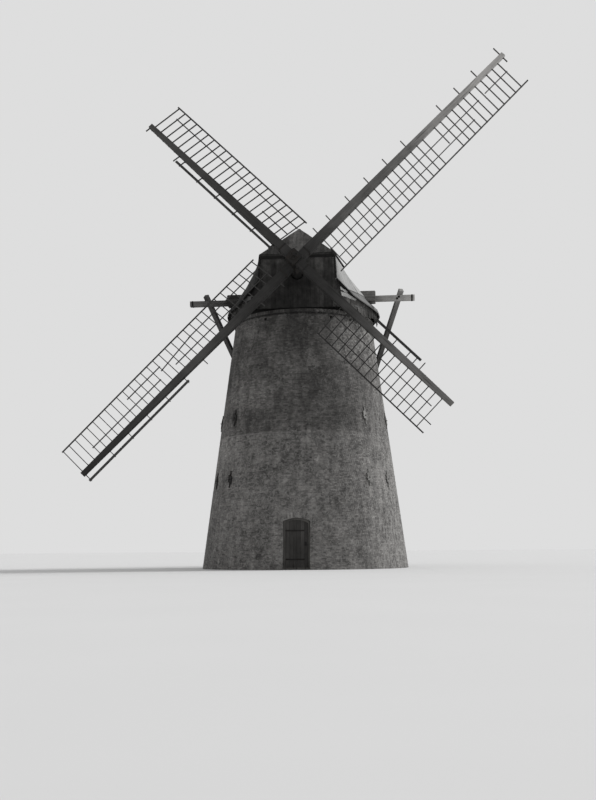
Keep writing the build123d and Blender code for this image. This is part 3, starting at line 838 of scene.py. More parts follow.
door_tar = (0.05, 0.048, 0.046)
door_frame_grey = (0.08, 0.077, 0.073)
fore_timber_brown = (0.06, 0.058, 0.055)
floor_brown = (0.24, 0.22, 0.195)
greased_black = (0.02, 0.0195, 0.019)
tarred_iron_black = (0.0145, 0.0143, 0.014)
limed_iron = (0.16, 0.157, 0.15)
limed_iron_span = (1.0, 2.0)
hip_fall = (0, 0.62, 0.79)
felt_lie = (0.7, 0.5, -0.5)


def arm_matrix(name):
    """Place of a sail arm: X out along the stock, Y to the trailing side, Z back."""
    angle = radians(sail_arms[name].degrees)
    along = Vector((cos(angle), 0, sin(angle)))
    trailing = Vector((sin(angle), 0, -cos(angle)))
    place = Matrix((along, trailing, back)).transposed().to_4x4()
    place.translation = back * sail_arms[name].depth
    return moved(*hub) @ turned(-shaft_incline, "X") @ place


def brick_finishes(colours):
    """Brickwork of the wall, its mortar, and the darker bricks on its head."""
    dark = colours.brick_dark
    light = colours.brick_light
    masonry_finish("laid brick", dark, light, laid=True)
    masonry_finish("wall mortar", dark, light, laid=False)
    masonry_finish("head brick", shade(dark, 0.6), shade(light, 0.78), laid=True)


def cap_finishes(colours):
    """Tarred boards of the cap, and the felt on its roof and skirt."""
    tar = colours.tar
    felt = colours.felt
    timber_finish("gable board", tar, up, 0.5, True, shades=gable_light_and_shade, mottle=0.5)
    # Darkest tar, also used for the painted shadow line under the half-hips
    timber_finish("verge and shadow board", shade(tar, 0.45), back, 0.4, True)
    timber_finish("hip board", shade(tar, 2.4), hip_fall, 0.4, True, shades=hip_shades, mottle=0.42)
    timber_finish("skirt board", shade(tar, 1.7), up, 0.5, True, shades=skirt_light_and_shade, mottle=0.4)
    timber_finish("level board", shade(tar, 1.9), right, 0.5, True, shades=box_light_and_shade, mottle=0.2)
    felt_finish("roof felt", felt)
    # Paler than the felt itself: painted light on the scraps that hang in the eave's shade
    timber_finish("bleached felt with painted light", shade(felt, 1.75), felt_lie, 0.25, mottle=0.25)
    timber_finish("grey felt", shade(felt, 0.36), felt_lie, 0.35, mottle=0.3)


def timber_finishes(colours):
    """Doors, floors, curb, frame and tail, each with its grain along the timber."""
    timber_finish("door board", door_tar, up, 0.5, True)
    timber_finish("upright timber", door_frame_grey, up)
    timber_finish("fore timber", fore_timber_brown, back)
    timber_finish("floor board", floor_brown)
    timber_finish("curb timber", greased_black)
    timber_finish("shaft timber", greased_black, (0, cos(shaft_incline), -sin(shaft_incline)))
    timber_finish("cross timber", shade(colours.beam, 0.6))
    timber_finish("tail beam timber", colours.beam, shades=beam_light_and_shade)
    # The braces' levels and tones paint shade on the left brace and light on the right brace
    for name, level in brace_shade_levels.items():
        low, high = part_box(name)
        along = (brace_slants[name] * (high.x - low.x), high.y - low.y, low.z - high.z)
        shades = brace_light_and_shade.get(name, ())
        timber_finish(f"{name} timber", shade(colours.beam, level), along, shades=shades)


def iron_finishes(colours):
    """Bare iron, tarred castings, and the anchors that were limed over on the right."""
    iron_finish("iron", colours.iron)
    iron_finish("tarred iron", tarred_iron_black)
    iron_finish("wall iron", colours.iron, limed_iron_span)


def sail_finishes(colours):
    """Stocks, lattices and wedges, with the grain out along each arm."""
    timber_finish("wedge timber", shade(colours.stock, 0.3), up)
    for name in sail_arms:
        along = arm_matrix(name).col[0].to_3d()
        lattice = shade(colours.stock, lattice_levels[name])
        timber_finish(f"{name} lattice", lattice, along, 0.4, fineness=2.0)
        # The stocks' tones are painted light and shade
        if name in stock_light_and_shade:
            shades = stock_light_and_shade[name]
            timber_finish(f"{name} stock", colours.stock, along, 0.45, shades=shades)


node_finishes = {
    "tower_head_ring": "wall mortar", "timber_curb": "curb timber", "ground_floor": "wall mortar",
    "first_floor": "floor board", "second_floor": "floor board", "wall_anchors": "wall iron",
    "door_arches": "wall mortar", "door_frames": "upright timber", "cap_sheers": "fore timber",
    "curb_skids": "fore timber", "beam_boxes": "level board", "weather_beam": "cross timber",
    "tail_bearing_beam": "cross timber", "long_cross_beam": "tail beam timber",
    "short_cross_beam": "tail beam timber", "short_braces": "tail_pole timber",
    "windshaft": "shaft timber", "poll_end": "tarred iron",
    "long_stock": "sail_upper_right stock", "short_stock": "sail_upper_left stock",
    **{name: f"{name} timber" for name in brace_shade_levels},
    **{name: f"{name} lattice" for name in sail_arms},
    **{name: "wall mortar" for name in wall_slices},
    **{name: "door board" for name, _ in doors},
    **{name: "gable board" for name, _ in gables},
    **{name: "hip board" for name, _ in hips},
    **{name: "roof felt" for name, _ in roof_sides},
    **{name: "skirt board" for name, _ in skirts},
}


class MILL_OT_finishes(Operator):
    """Makes the finishes and gives each solid its own."""

    bl_idname = "mill.finishes"
    bl_label = "Surface finishes"

    def execute(self, context):
        for make_group in (grain_group, weather_and_shade_group, rust_group):
            make_group()
        for make in (brick_finishes, cap_finishes, timber_finishes, iron_finishes, sail_finishes):
            make(context.scene.mill_colours)
        for name, solid in frame["nodes"].items():
            solid.data.materials.clear()
            solid.data.materials.append(finishes[node_finishes[name]])
        return {"FINISHED"}


# Brickwork

door_half_width = 0.575
door_head_height = 2.05
door_arch_height = 0.24
door_arch_rise = 0.14
scaffold_hole_count = 20
scaffold_hole_half = 0.065
scaffold_hole_height = 10.95
course_shifts = (0.0, 0.125, 0.5, 0.375)
narrowest_brick = 0.03
relief_spread = 0.0016
sunk_brick_share = 0.012
sunk_brick_relief = 0.001
tilt_spread = 0.006
height_spread = 0.001
head_relief = 0.005


def clear_spans(start, end, gaps):
    """What is left of a span of the wall between gaps, as (start, end) pairs."""
    spans = [(start, end)]
    for low, high in gaps:
        spans = [
            piece
            for begin, finish in spans
            for piece in ((begin, min(finish, low)), (max(begin, high), finish))
            if piece[1] - piece[0] > 0.0001
        ]
    return spans


def wall_gaps(low, high):
    """Angles that no brick of a course may cover, because of doors and scaffold holes."""
    gaps = []
    radius = wall_radius(low)
    if low < door_head_height + door_arch_height + door_arch_rise:
        half = door_half_width if high < door_head_height else door_half_width + door_arch_height
        for side in (-pi / 2, pi / 2):
            gaps.append((side - asin(half / radius), side + asin(half / radius)))
    hole_foot = scaffold_hole_height - scaffold_hole_half
    hole_head = scaffold_hole_height + scaffold_hole_half
    if high > hole_foot and low < hole_head:
        half = scaffold_hole_half / radius
        step = 2 * pi / scaffold_hole_count
        for index in range(-scaffold_hole_count // 2, scaffold_hole_count // 2 + 1):
            middle = (index + 0.5) * step
            if abs(middle + pi / 2) > step:
                gaps.append((middle - half, middle + half))
    return gaps


def lay_slice(pile, first_angle, sweep):
    """Bricks of one slice of the wall, in alternate courses of stretchers and headers."""
    brickwork = bpy.context.scene.mill_brickwork
    courses = round(wall_height / brickwork.course)
    course = wall_height / courses
    for row in range(courses):
        low = row * course
        radius = wall_radius(low + course / 2)
        length = brickwork.length if row % 2 else brickwork.length / 2
        count = round(radius * sweep / length)
        step = sweep / count
        gaps = wall_gaps(low, low + course)
        part = bmesh.new()
        tones = []
        for index in range(count):
            start = first_angle + (index + course_shifts[row % 4]) * step
            for begin, end in clear_spans(start, start + step, gaps):
                width = (end - begin) * radius - brickwork.joint
                if width < narrowest_brick:
                    continue
                relief = brickwork.relief + pile.dice.gauss(0, relief_spread)
                if pile.dice.random() < sunk_brick_share:
                    relief = sunk_brick_relief
                tilt = pile.dice.gauss(0, tilt_spread)
                drop = pile.dice.gauss(0, height_spread)
                place = (
                    turned((begin + end) / 2, "Z")
                    @ moved(radius, 0, low + course / 2)
                    @ turned(-wall_batter, "Y")
                    @ moved(relief - brickwork.depth / 2, 0, drop)
                    @ turned(tilt, "X")
                )
                add_block(part, (brickwork.depth, width, course - brickwork.joint), place)
                tones.append(pile.dice.random())
        pile.add(part, tones)


class MILL_OT_wall_bricks(Operator):
    """Lays the bricks of the round wall, one piece for each slice."""

    bl_idname = "mill.wall_bricks"
    bl_label = "Wall bricks"

    def execute(self, context):
        sweep = 2 * pi / len(wall_slices)
        for number, name in enumerate(wall_slices):
            pile = Pile(100 + number)
            lay_slice(pile, -pi / 2 - sweep / 2 + number * sweep, sweep)
            pile.finish(f"{name}_bricks", "laid brick", "tower", "wall_brick")
        return {"FINISHED"}


class MILL_OT_head_bricks(Operator):
    """Sets upright bricks in the ring on the wall head."""

    bl_idname = "mill.head_bricks"
    bl_label = "Wall head bricks"

    def execute(self, context):
        brickwork = context.scene.mill_brickwork
        low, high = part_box("tower_head_ring")
        height = high.z - low.z - brickwork.joint
        count = round(2 * pi * high.x / brickwork.head_brick)
        width = brickwork.head_brick - brickwork.joint * 0.9
        pile = Pile(201)
        for index in range(count):
            relief = head_relief + pile.dice.gauss(0, 0.002)
            place = (
                turned(index * 2 * pi / count, "Z")
                @ moved(high.x + relief - brickwork.depth / 2, 0, (low.z + high.z) / 2)
                @ turned(pile.dice.gauss(0, 0.01), "X")
            )
            pile.block((brickwork.depth, width, height), place)
        pile.finish("tower_head_bricks", "head brick", "tower", "head_brick")
        return {"FINISHED"}


class MILL_OT_arch_bricks(Operator):
    """Sets the wedge-shaped ring of bricks over each doorway."""

    bl_idname = "mill.arch_bricks"
    bl_label = "Door arch bricks"

    def execute(self, context):
        brickwork = context.scene.mill_brickwork
        half = door_half_width + door_arch_height
        radius = (half**2 + door_arch_rise**2) / (2 * door_arch_rise)
        centre_height = door_head_height + door_arch_rise - radius
        middle = radius + door_arch_height / 2
        spread = asin(half / radius)
        count = round(2 * spread * radius / brickwork.head_brick)
        width = 2 * spread * radius / count - brickwork.joint * 0.8
        pile = Pile(301)
        for side in (0, pi):
            for index in range(count):
                lean = -spread + (index + 0.5) * 2 * spread / count
                height = centre_height + middle * cos(lean)
                across = middle * sin(lean)
                depth = (wall_radius(height) ** 2 - across**2) ** 0.5
                place = (
                    turned(side, "Z")
                    @ moved(across, -depth - 0.004 + brickwork.depth / 2, height)
                    @ turned(lean, "Y")
                    @ turned(-wall_batter, "X")
                )
                pile.block((width, brickwork.depth, door_arch_height - brickwork.joint), place)
        pile.finish("door_arch_bricks", "laid brick", "tower", "arch_brick")
        return {"FINISHED"}


# Doors

door_board_width = 0.16
strap_share = 0.82
strap_size = (0.008, 0.055)
strap_from_foot = 0.35
strap_from_head = 0.45
strap_stand_off = 0.03
plate_size = (0.09, 0.008, 0.16)
stud_radius = 0.012
ring_radius = 0.045
ring_bar_radius = 0.007


class MILL_OT_doors(Operator):
    """Boards, strap hinges, nails and a ring handle on both doors."""

    bl_idname = "mill.doors"
    bl_label = "Doors"

    def execute(self, context):
        for name, side in doors:
            facing = back * side
            pile = Pile(400 + side)
            board_over(pile, flat_side(name, facing), facing, right, door_board_width)
            pile.finish(f"{name}_boards", "door board", "tower", "door_timber")
            self.ironwork(name, side)
        return {"FINISHED"}

    def ironwork(self, name, side):
        """Two straps with their studs, and a ring on its plate."""
        low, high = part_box(name)
        face = (low.y if side < 0 else high.y) + side * strap_stand_off
        pile = Pile(410 + side)
        length = (high.x - low.x) * strap_share
        for height in (low.z + strap_from_foot, high.z - strap_from_head):
            pile.block((length, *strap_size), moved(low.x + length / 2, face, height))
            for step in range(5):
                across = low.x + 0.08 + step * length / 5.4
                self.stud(pile, moved(across, face + side * 0.006, height))
        plate = moved(high.x - 0.12, face, (low.z + high.z) / 2)
        pile.block(plate_size, plate)
        self.ring(pile, plate @ moved(0, side * 0.014, -0.03) @ turned(pi / 2, "X"))
        pile.finish(f"{name}_ironwork", "iron", "tower", "wrought_iron")

    def stud(self, pile, place):
        """Round nail head."""
        part = bmesh.new()
        flattened = place @ Matrix.Diagonal((1, 0.6, 1, 1))
        bmesh.ops.create_uvsphere(
            part, u_segments=8, v_segments=4, radius=stud_radius, matrix=flattened)
        pile.add(part)

    def ring(self, pile, place):
        """Round bar bent into a ring about Z."""
        part = bmesh.new()
        start = moved(ring_radius, 0, 0) @ turned(pi / 2, "X")
        bmesh.ops.create_circle(part, radius=ring_bar_radius, segments=6, matrix=start)
        bmesh.ops.spin(
            part, geom=part.verts[:] + part.edges[:], cent=(0, 0, 0), axis=up, angle=2 * pi,
            steps=16, use_merge=True)
        bmesh.ops.transform(part, matrix=place, verts=part.verts)
        pile.add(part)


# Cap

gable_ragged = 0.03
hip_ragged = 0.04
hip_board_share = 0.8
box_board_width = 0.14
verge_thickness = 0.024
# The dark fascia under each half-hip's foot is a painted shadow line
shadow_fascia_thickness = 0.028
shadow_fascia_height = 0.10
felt_rows = 22
felt_columns = 6
felt_overlap = 0.06
felt_lap_height = 12.04
felt_lap_lift = 0.02
ridge_radius = 0.085


def held(value):
    """Value held between 0 and 1."""
    return max(0.0, min(1.0, value))


def wobble(place, scale, amount):
    """Smooth shift that differs from place to place."""
    return noise.noise(place * scale) * amount


class MILL_OT_gable_boards(Operator):
    """Upright boards on both gables of the cap."""

    bl_idname = "mill.gable_boards"
    bl_label = "Gable boards"

    def execute(self, context):
        width = context.scene.mill_boarding.width
        for name, side in gables:
            facing = back * side
            pile = Pile(500 + side)
            board_over(pile, flat_side(name, facing), facing, right, width, gable_ragged)
            pile.finish(f"{name}_boards", "gable board", "cap", "cap_boarding")
        return {"FINISHED"}


class MILL_OT_hip_boards(Operator):
    """Boards down both half-hips, and along their feet a dark fascia that paints the shadow under
    them.
    """

    bl_idname = "mill.hip_boards"
    bl_label = "Half-hip boards"

    def execute(self, context):
        width = context.scene.mill_boarding.width
        for name, side in hips:
            sheet = surface(name, lambda normal, centre: normal.z > 0.3 and normal.y * side > 0.5)
            facing = sheet.faces[:][0].normal.copy()
            pile = Pile(520 + side)
            board_over(pile, sheet, facing, right, width * hip_board_share, hip_ragged)
            pile.finish(f"{name}_boards", "hip board", "cap", "roof_felt")
            self.shadow_fascia(name, side)
        return {"FINISHED"}

    def shadow_fascia(self, name, side):
        """Three dark boards end to end under the foot of a half-hip, a painted shadow line."""
        low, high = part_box(name)
        foot = (low.y if side < 0 else high.y) + side * 0.012
        length = (high.x - low.x) / 3
        size = (length - 0.01, shadow_fascia_thickness, shadow_fascia_height)
        pile = Pile(530 + side)
        for index in range(3):
            middle = low.x + length * (index + 0.5)
            pile.block(size, moved(middle, foot, low.z - shadow_fascia_thickness))
        pile.finish(f"{name}_fascia", "verge and shadow board", "cap", "cap_boarding")


class MILL_OT_roof_felt(Operator):
    """Strips of felt over both sides of the cap, sagging and torn towards the eave."""

    bl_idname = "mill.roof_felt"
    bl_label = "Roof felt"

    def execute(self, context):
        boarding = context.scene.mill_boarding
        for name, side in roof_sides:
            sheet = roof_slope(name, side)
            reach = [v.co.y for v in sheet.verts]
            count = round((max(reach) - min(reach)) / boarding.felt_width)
            pitch = (max(reach) - min(reach)) / count
            pile = Pile(540 + side)
            for index in range(count):
                low = min(reach) + index * pitch
                lap = felt_overlap if index < count - 1 else 0.0
                part = between(sheet, back, low, low + pitch + lap)
                self.sag(part, index % 2)
                thickness = boarding.felt_thickness
                bmesh.ops.solidify(part, geom=part.faces[:], thickness=-thickness)
                pile.add(part)
            sheet.free()
            pile.finish(f"{name}_felt", "roof felt", "cap", "roof_felt")
        return {"FINISHED"}

    def sag(self, part, upper):
        """Divides a strip finely and lets it sag; an upper strip lies on its neighbours."""
        heights = [v.co.z for v in part.verts]
        ends = [v.co.y for v in part.verts]
        for axis, reach, pieces in ((up, heights, felt_rows), (back, ends, felt_columns)):
            for step in range(1, pieces):
                place = min(reach) + (max(reach) - min(reach)) * step / pieces
                score(part, axis * place, axis)
        part.normal_update()
        for vert in part.verts:
            near_eave = held((13.0 - vert.co.z) / 1.2)
            wave = wobble(vert.co, 2.2, 0.016) + wobble(vert.co, 5.0, 0.030) * near_eave
            lap = felt_lap_lift if vert.co.z > felt_lap_height else 0.0
            vert.co += vert.normal * (0.003 + 0.007 * upper + lap + max(0.0, wave + 0.006))
        for vert in part.verts:
            if vert.is_boundary and vert.co.z < min(heights) + 0.30:
                vert.co.z += wobble(vert.co, 7.0, 0.05)


class MILL_OT_verges(Operator):
    """Boards along the roof's edges over the gables, and the ridge capping."""

    bl_idname = "mill.verges"
    bl_label = "Verge boards and ridge"

    def execute(self, context):
        pile = Pile(560)
        for name, _ in roof_sides:
            for facing in (-back, back):
                part = flat_side(name, facing)
                thicken(part, facing, 0.0005, verge_thickness)
                pile.add(part)
        pile.finish("cap_verge_boards", "verge and shadow board", "cap", "cap_boarding")
        roof_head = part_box("cap_right_roof")[1]
        hip_low, hip_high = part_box("cap_front_hip")
        length = 2 * (roof_head.y - (hip_high.y - hip_low.y))
        ridge = Pile(561)
        ridge.rod(ridge_radius, length, 14, moved(0, 0, roof_head.z - 0.035) @ turned(pi / 2, "X"))
        ridge.finish("cap_ridge_roll", "roof felt", "cap", "roof_felt")
        return {"FINISHED"}


def faces_outward(normal, centre):
    """Whether a face looks away from the tower's axis."""
    return normal.dot(outward(centre)) > 0.5


# Skirt boards: gap and loose stretch as angles, and spans that the random shifts are drawn from

skirt_gap = 0.0024
loose_span = (-0.95, 0.12)
broken_share = 0.2
foot_drops = (-0.05, 0.05)
broken_drops = (-0.12, 0.2)
loose_drops = (-0.35, -0.22)
loose_springs = (0.01, 0.075)
foot_jitters = (-0.012, 0.012)
skirt_lifts = (0.001, 0.008)


class MILL_OT_skirt_boards(Operator):
    """Upright boards round the foot of the cap, some of them broken off."""

    bl_idname = "mill.skirt_boards"
    bl_label = "Skirt boards"

    def execute(self, context):
        width = context.scene.mill_boarding.width
        for name, side in skirts:
            sheet = surface(name, faces_outward)
            angles = sorted(atan2(v.co.y, v.co.x * side) for v in sheet.verts)
            count = round((angles[-1] - angles[0]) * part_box(name)[1].y / width)
            step = (angles[-1] - angles[0]) / count
            pile = Pile(580 + side)
            for index in range(count):
                start = angles[0] + index * step + skirt_gap / 2
                self.board(pile, sheet.copy(), side, start, start + step - skirt_gap)
            sheet.free()
            pile.finish(f"{name}_boards", "skirt board", "cap", "cap_boarding")
        return {"FINISHED"}

    def board(self, pile, part, side, start, end):
        """One board, cut from the skirt between two angles and uneven at its foot."""
        lowest = min(v.co.z for v in part.verts)
        cut(part, Vector(), Vector((-sin(start) * side, cos(start), 0)))
        cut(part, Vector(), Vector((sin(end) * side, -cos(end), 0)))
        if not part.faces:
            part.free()
            return
        middle = (start + end) / 2
        facing = Vector((cos(middle) * side, sin(middle), 0))
        drop = pile.dice.uniform(*foot_drops)
        if pile.dice.random() < broken_share:
            drop = pile.dice.uniform(*broken_drops)
        spring = 0.0
        if side > 0 and loose_span[0] < middle < loose_span[1]:
            drop = pile.dice.uniform(*loose_drops)
            spring = pile.dice.uniform(*loose_springs)
        for vert in part.verts:
            if vert.co.z < lowest + 0.02:
                vert.co.z += drop + pile.dice.uniform(*foot_jitters)
                vert.co += facing * spring
        thickness = bpy.context.scene.mill_boarding.thickness
        thicken(part, facing, pile.dice.uniform(*skirt_lifts), thickness)
        pile.add(part)


# How far the eave's board and its felt stand out and up, and how thick they are

eave_board_drop = 0.085
eave_board_stand = (0.012, 0.012, 0.024)
eave_felt_stand = (0.044, 0.03, 0.008)


class MILL_OT_eaves(Operator):
    """Dark board and hanging felt at the sweeping lower edge of each roof side."""

    bl_idname = "mill.eaves"
    bl_label = "Eave boards"

    def execute(self, context):
        boards = Pile(610)
        felt = Pile(611)
        for name, side in roof_sides:
            part, foot = self.edge_strip(name, side)
            bmesh.ops.translate(part, verts=foot, vec=up * -eave_board_drop)
            self.stand_off(boards, part, *eave_board_stand)
            part, foot = self.edge_strip(name, side)
            for vert in foot:
                share = held((abs(vert.co.x) - 2.0) / 0.5)
                vert.co.z -= 0.03 + 0.14 * share + wobble(vert.co, 6.0, 0.05) * share
                vert.co += outward(vert.co) * 0.03 * share
            self.stand_off(felt, part, *eave_felt_stand)
        boards.finish("cap_eave_boards", "verge and shadow board", "cap", "cap_boarding")
        felt.finish("cap_eave_felt", "roof felt", "cap", "roof_felt")
        return {"FINISHED"}

    def edge_strip(self, name, side):
        """Upright strip of no depth along a roof side's lower edge, and its lower corners."""
        part = roof_slope(name, side)
        ends = [v.co.y for v in part.verts]
        lower = [
            edge for edge in part.edges
            if edge.is_boundary
            and abs(edge.verts[0].co.x) > 1.2
            and not all(v.co.y < min(ends) + 0.02 for v in edge.verts)
            and not all(v.co.y > max(ends) - 0.02 for v in edge.verts)
        ]
        slope = part.faces[:]
        grown = bmesh.ops.extrude_edge_only(part, edges=lower)
        foot = [v for v in grown["geom"] if isinstance(v, bmesh.types.BMVert)]
        bmesh.ops.translate(part, verts=foot, vec=up * -0.001)
        bmesh.ops.delete(part, geom=slope, context="FACES")
        part.normal_update()
        return part, foot

    def stand_off(self, pile, part, out, rise, thickness):
        """Moves a strip out and up, gives it its thickness and adds it."""
        for vert in part.verts:
            vert.co += outward(vert.co) * out + up * rise
        bmesh.ops.solidify(part, geom=part.faces[:], thickness=thickness)
        pile.add(part)


# Outlines of the felt scraps in the picture, in pixels

# These scraps are bleached felt with painted light
bleached_lit_scraps = (
    ("cap_right_skirt", ((339.6, 286.6), (346.8, 292.0), (346.5, 293.4), (340.0, 289.6))),
    ("cap_right_skirt", ((340.2, 291.6), (347.0, 293.6), (355.6, 299.6), (354.6, 301.0),
                         (347.6, 298.4), (341.2, 295.4))),
)
grey_scraps = (
    ("cap_right_skirt", ((353.0, 305.0), (363.5, 307.6), (368.5, 312.0), (355.5, 309.5))),
    ("cap_left_skirt", ((239.6, 302.6), (245.5, 297.4), (252.6, 296.0), (251.6, 299.6),
                        (246.5, 302.0))),
)
scrap_lift = 0.034
scrap_thickness = 0.01


def sight(x, y):
    """Direction from the eye to a place in the picture's frame."""
    ahead = Vector((-sin(eye_heading), cos(eye_heading), 0))
    aside = Vector((cos(eye_heading), sin(eye_heading), 0))
    across = x - picture_width / 2
    rise = horizon_pixel - y
    level = across * cos(eye_roll) + rise * sin(eye_roll)
    height = rise * cos(eye_roll) - across * sin(eye_roll)
    return ahead + aside * (level / focal_pixels) + up * (height / focal_pixels)


class MILL_OT_felt_scraps(Operator):
    """Torn felt that still hangs on the skirt under the eaves."""

    bl_idname = "mill.felt_scraps"
    bl_label = "Felt scraps"

    def execute(self, context):
        pale = Pile(701)
        for node, corners in bleached_lit_scraps:
            self.scrap(pale, node, corners)
        pale.finish("skirt_felt_right", "bleached felt with painted light", "cap", "roof_felt")
        grey = Pile(702)
        for node, corners in grey_scraps:
            self.scrap(grey, node, corners)
        grey.finish("skirt_felt_grey", "grey felt", "cap", "roof_felt")
        return {"FINISHED"}

    def scrap(self, pile, node, corners):
        """Felt inside the outline that the corners draw on the skirt, with uneven edges."""
        part = surface(node, lambda normal, centre: faces_outward(normal, centre) and centre.y < 0)
        rays = [sight(*corner) for corner in corners]
        middle = sum(rays, Vector()) / len(rays)
        for first, second in zip(rays, rays[1:] + rays[:1]):
            normal = first.cross(second)
            if normal.dot(middle) < 0:
                normal.negate()
            cut(part, eye_place, normal)
        bmesh.ops.triangulate(part, faces=part.faces)
        for _ in range(2):
            bmesh.ops.subdivide_edges(part, edges=part.edges[:], cuts=1, use_grid_fill=True)
        bmesh.ops.remove_doubles(part, verts=part.verts, dist=0.002)
        part.normal_update()
        for vert in part.verts:
            facing = outward(vert.co)
            lift = scrap_lift + wobble(vert.co, 6.0, 0.012)
            if vert.is_boundary:
                lift += 0.01
                vert.co.z += wobble(vert.co, 11.0, 0.03)
            vert.co += facing * lift
        bmesh.ops.solidify(part, geom=part.faces[:], thickness=-scrap_thickness)
        pile.add(part)


class MILL_OT_box_boards(Operator):
    """Boards on the boxes where the long cross-beam leaves the roof."""

    bl_idname = "mill.box_boards"
    bl_label = "Beam box boards"

    def execute(self, context):
        pile = Pile(600)
        for side in (-1, 1):
            for facing, across in ((-back, up), (back, up), (up, back), (right * side, up)):
                sheet = surface("beam_boxes", lambda normal, centre: (
                    normal.dot(facing) > 0.9 and centre.x * side > 0))
                if sheet.faces:
                    board_over(pile, sheet, facing, across, box_board_width)
                else:
                    sheet.free()
        pile.finish("beam_box_boards", "level board", "cap", "cap_boarding")
        return {"FINISHED"}


# Ironwork of the cap, tail and sails

washer_thickness = 0.008
small_bolt = 0.04


def bolt(pile, place, size):
    """Square washer with a six-sided nut and the bolt's end, standing along Z."""
    washer = (size * 1.5, size * 1.5, washer_thickness)
    pile.block(washer, place @ moved(0, 0, washer_thickness / 2))
    for radius, height, sides in ((size / 2, size * 0.5, 6), (size * 0.24, size * 0.85, 8)):
        pile.rod(radius, height, sides, place @ moved(0, 0, washer_thickness + height / 2))


def band(pile, place, width, depth):
    """Iron band round a timber that runs along X and has that width along Y and depth along Z."""
    iron = bpy.context.scene.mill_ironwork
    thick = iron.band_thickness
    for side in (-1, 1):
        cheek = place @ moved(0, side * (width / 2 + thick / 2), 0)
        pile.block((iron.band_width, thick, depth + 2 * thick), cheek)
        flat = place @ moved(0, 0, side * (depth / 2 + thick / 2))
        pile.block((iron.band_width, width, thick), flat)
        seat = place @ moved(0, side * (width / 2 + thick), 0) @ turned(-side * pi / 2, "X")
        bolt(pile, seat, small_bolt)


def stock_size(name, radius):
    """Width and depth of a stock at a distance from the hub."""
    share = radius / sail_arms[name].length
    width = stock_hub_width + (stock_tip_width - stock_hub_width) * share
    depth = stock_hub_depth + (stock_tip_depth - stock_hub_depth) * share
    return width, depth


stock_band_place = poll_end_half + 0.42
hub_wedge_place = poll_end_half + 0.05
hub_wedge_length = 0.26
hub_wedge_width = 0.05
hub_wedge_lean = 0.07
bar_wedge = (0.018, 0.05, 0.046)
bar_wedge_leans = (0.1, 0.3)
disc_thickness = 0.04
disc_foot_radius = 0.19
disc_head_radius = 0.165
disc_bolt_radius = 0.13
front_bolt = 0.12


class MILL_OT_stock_irons(Operator):
    """Bands and bolts on the stocks, wedges in the poll end, and the shaft's front bolt."""

    bl_idname = "mill.stock_irons"
    bl_label = "Stock irons and wedges"

    def execute(self, context):
        pile = Pile(620)
        wedges = Pile(621)
        for name in sail_arms:
            place = arm_matrix(name)
            band(pile, place @ moved(stock_band_place, 0, 0), *stock_size(name, stock_band_place))
            width, thick = stock_size(name, poll_end_half)
            for side in (-1, 1):
                spot = place @ moved(hub_wedge_place, side * (width / 2 - 0.02), 0)
                size = (hub_wedge_length, hub_wedge_width, thick * 0.7)
                wedges.block(size, spot @ turned(side * hub_wedge_lean, "Z"))
        front = moved(*hub) @ turned(-shaft_incline, "X")
        front = front @ moved(0, -poll_end_front, 0) @ turned(pi / 2, "X")
        disc = front @ moved(0, 0, disc_thickness / 2)
        pile.rod(disc_foot_radius, disc_thickness, 28, disc, end_radius=disc_head_radius)
        bolt(pile, front @ moved(0, 0, disc_thickness), front_bolt)
        for corner in range(4):
            turn = turned(pi / 4 + corner * pi / 2, "Z")
            bolt(pile, front @ turn @ moved(disc_bolt_radius, 0, disc_thickness), small_bolt)
        pile.finish("stock_irons", "tarred iron", "sails", "cast_iron")
        wedges.finish("poll_end_wedges", "wedge timber", "sails", "stock_timber")
        return {"FINISHED"}


class MILL_OT_bar_wedges(Operator):
    """Small wedges that hold each bar in its mortise, on both sides of the stock."""

    bl_idname = "mill.bar_wedges"
    bl_label = "Bar wedges"

    def execute(self, context):
        for name, arm in sail_arms.items():
            pile = Pile(640 + arm.bars)
            place = arm_matrix(name)
            for number in range(arm.bars):
                if number in arm.missing:
                    continue
                radius = arm.bar_radius(number)
                width = stock_size(name, radius)[0]
                for side in (-1, 1):
                    spot = place @ moved(radius - 0.026, side * (width / 2 + 0.006), 0)
                    lean = turned(side * pile.dice.uniform(*bar_wedge_leans), "Z")
                    pile.block(bar_wedge, spot @ lean)
            pile.finish(f"{name}_wedges", "wedge timber", "sails", "lattice_timber")
        return {"FINISHED"}


leading_board_place = -0.44
leading_board_width = 0.11
leading_board_thickness = 0.02
leading_board_lift = 0.053
leading_board_gap = 0.004


class MILL_OT_leading_boards(Operator):
    """Boards on the laths ahead of the stocks, twisted as the bars are."""

    bl_idname = "mill.leading_boards"
    bl_label = "Leading boards"

    def execute(self, context):
        for name, arm in sail_arms.items():
            if not arm.leading:
                continue
            pile = Pile(680 + arm.bars)
            start, end = arm.leading
            bays = max(2, round((end - start) / 5))
            ends = [arm.bar_radius(start + (end - start) * bay / bays) for bay in range(bays + 1)]
            for low, high in zip(ends, ends[1:]):
                self.board(pile, name, low + leading_board_gap, high - leading_board_gap)
            pile.finish(f"{name}_leading_boards", f"{name} lattice", "sails", "lattice_timber")
        return {"FINISHED"}

    def board(self, pile, name, low, high):
        """One board between two distances from the hub."""
        part = bmesh.new()
        size = (high - low, leading_board_width, leading_board_thickness)
        add_block(part, size, moved((low + high) / 2, leading_board_place, -leading_board_lift))
        for step in range(1, 6):
            score(part, right * (low + (high - low) * step / 6), right)
        for vert in part.verts:
            vert.co = turned(sail_arms[name].weather(vert.co.x), "X") @ vert.co
        bmesh.ops.transform(part, matrix=arm_matrix(name), verts=part.verts)
        pile.add(part)


# Ends of the hem stay as (bar number, distance across), its sizes, and its lift off the bars

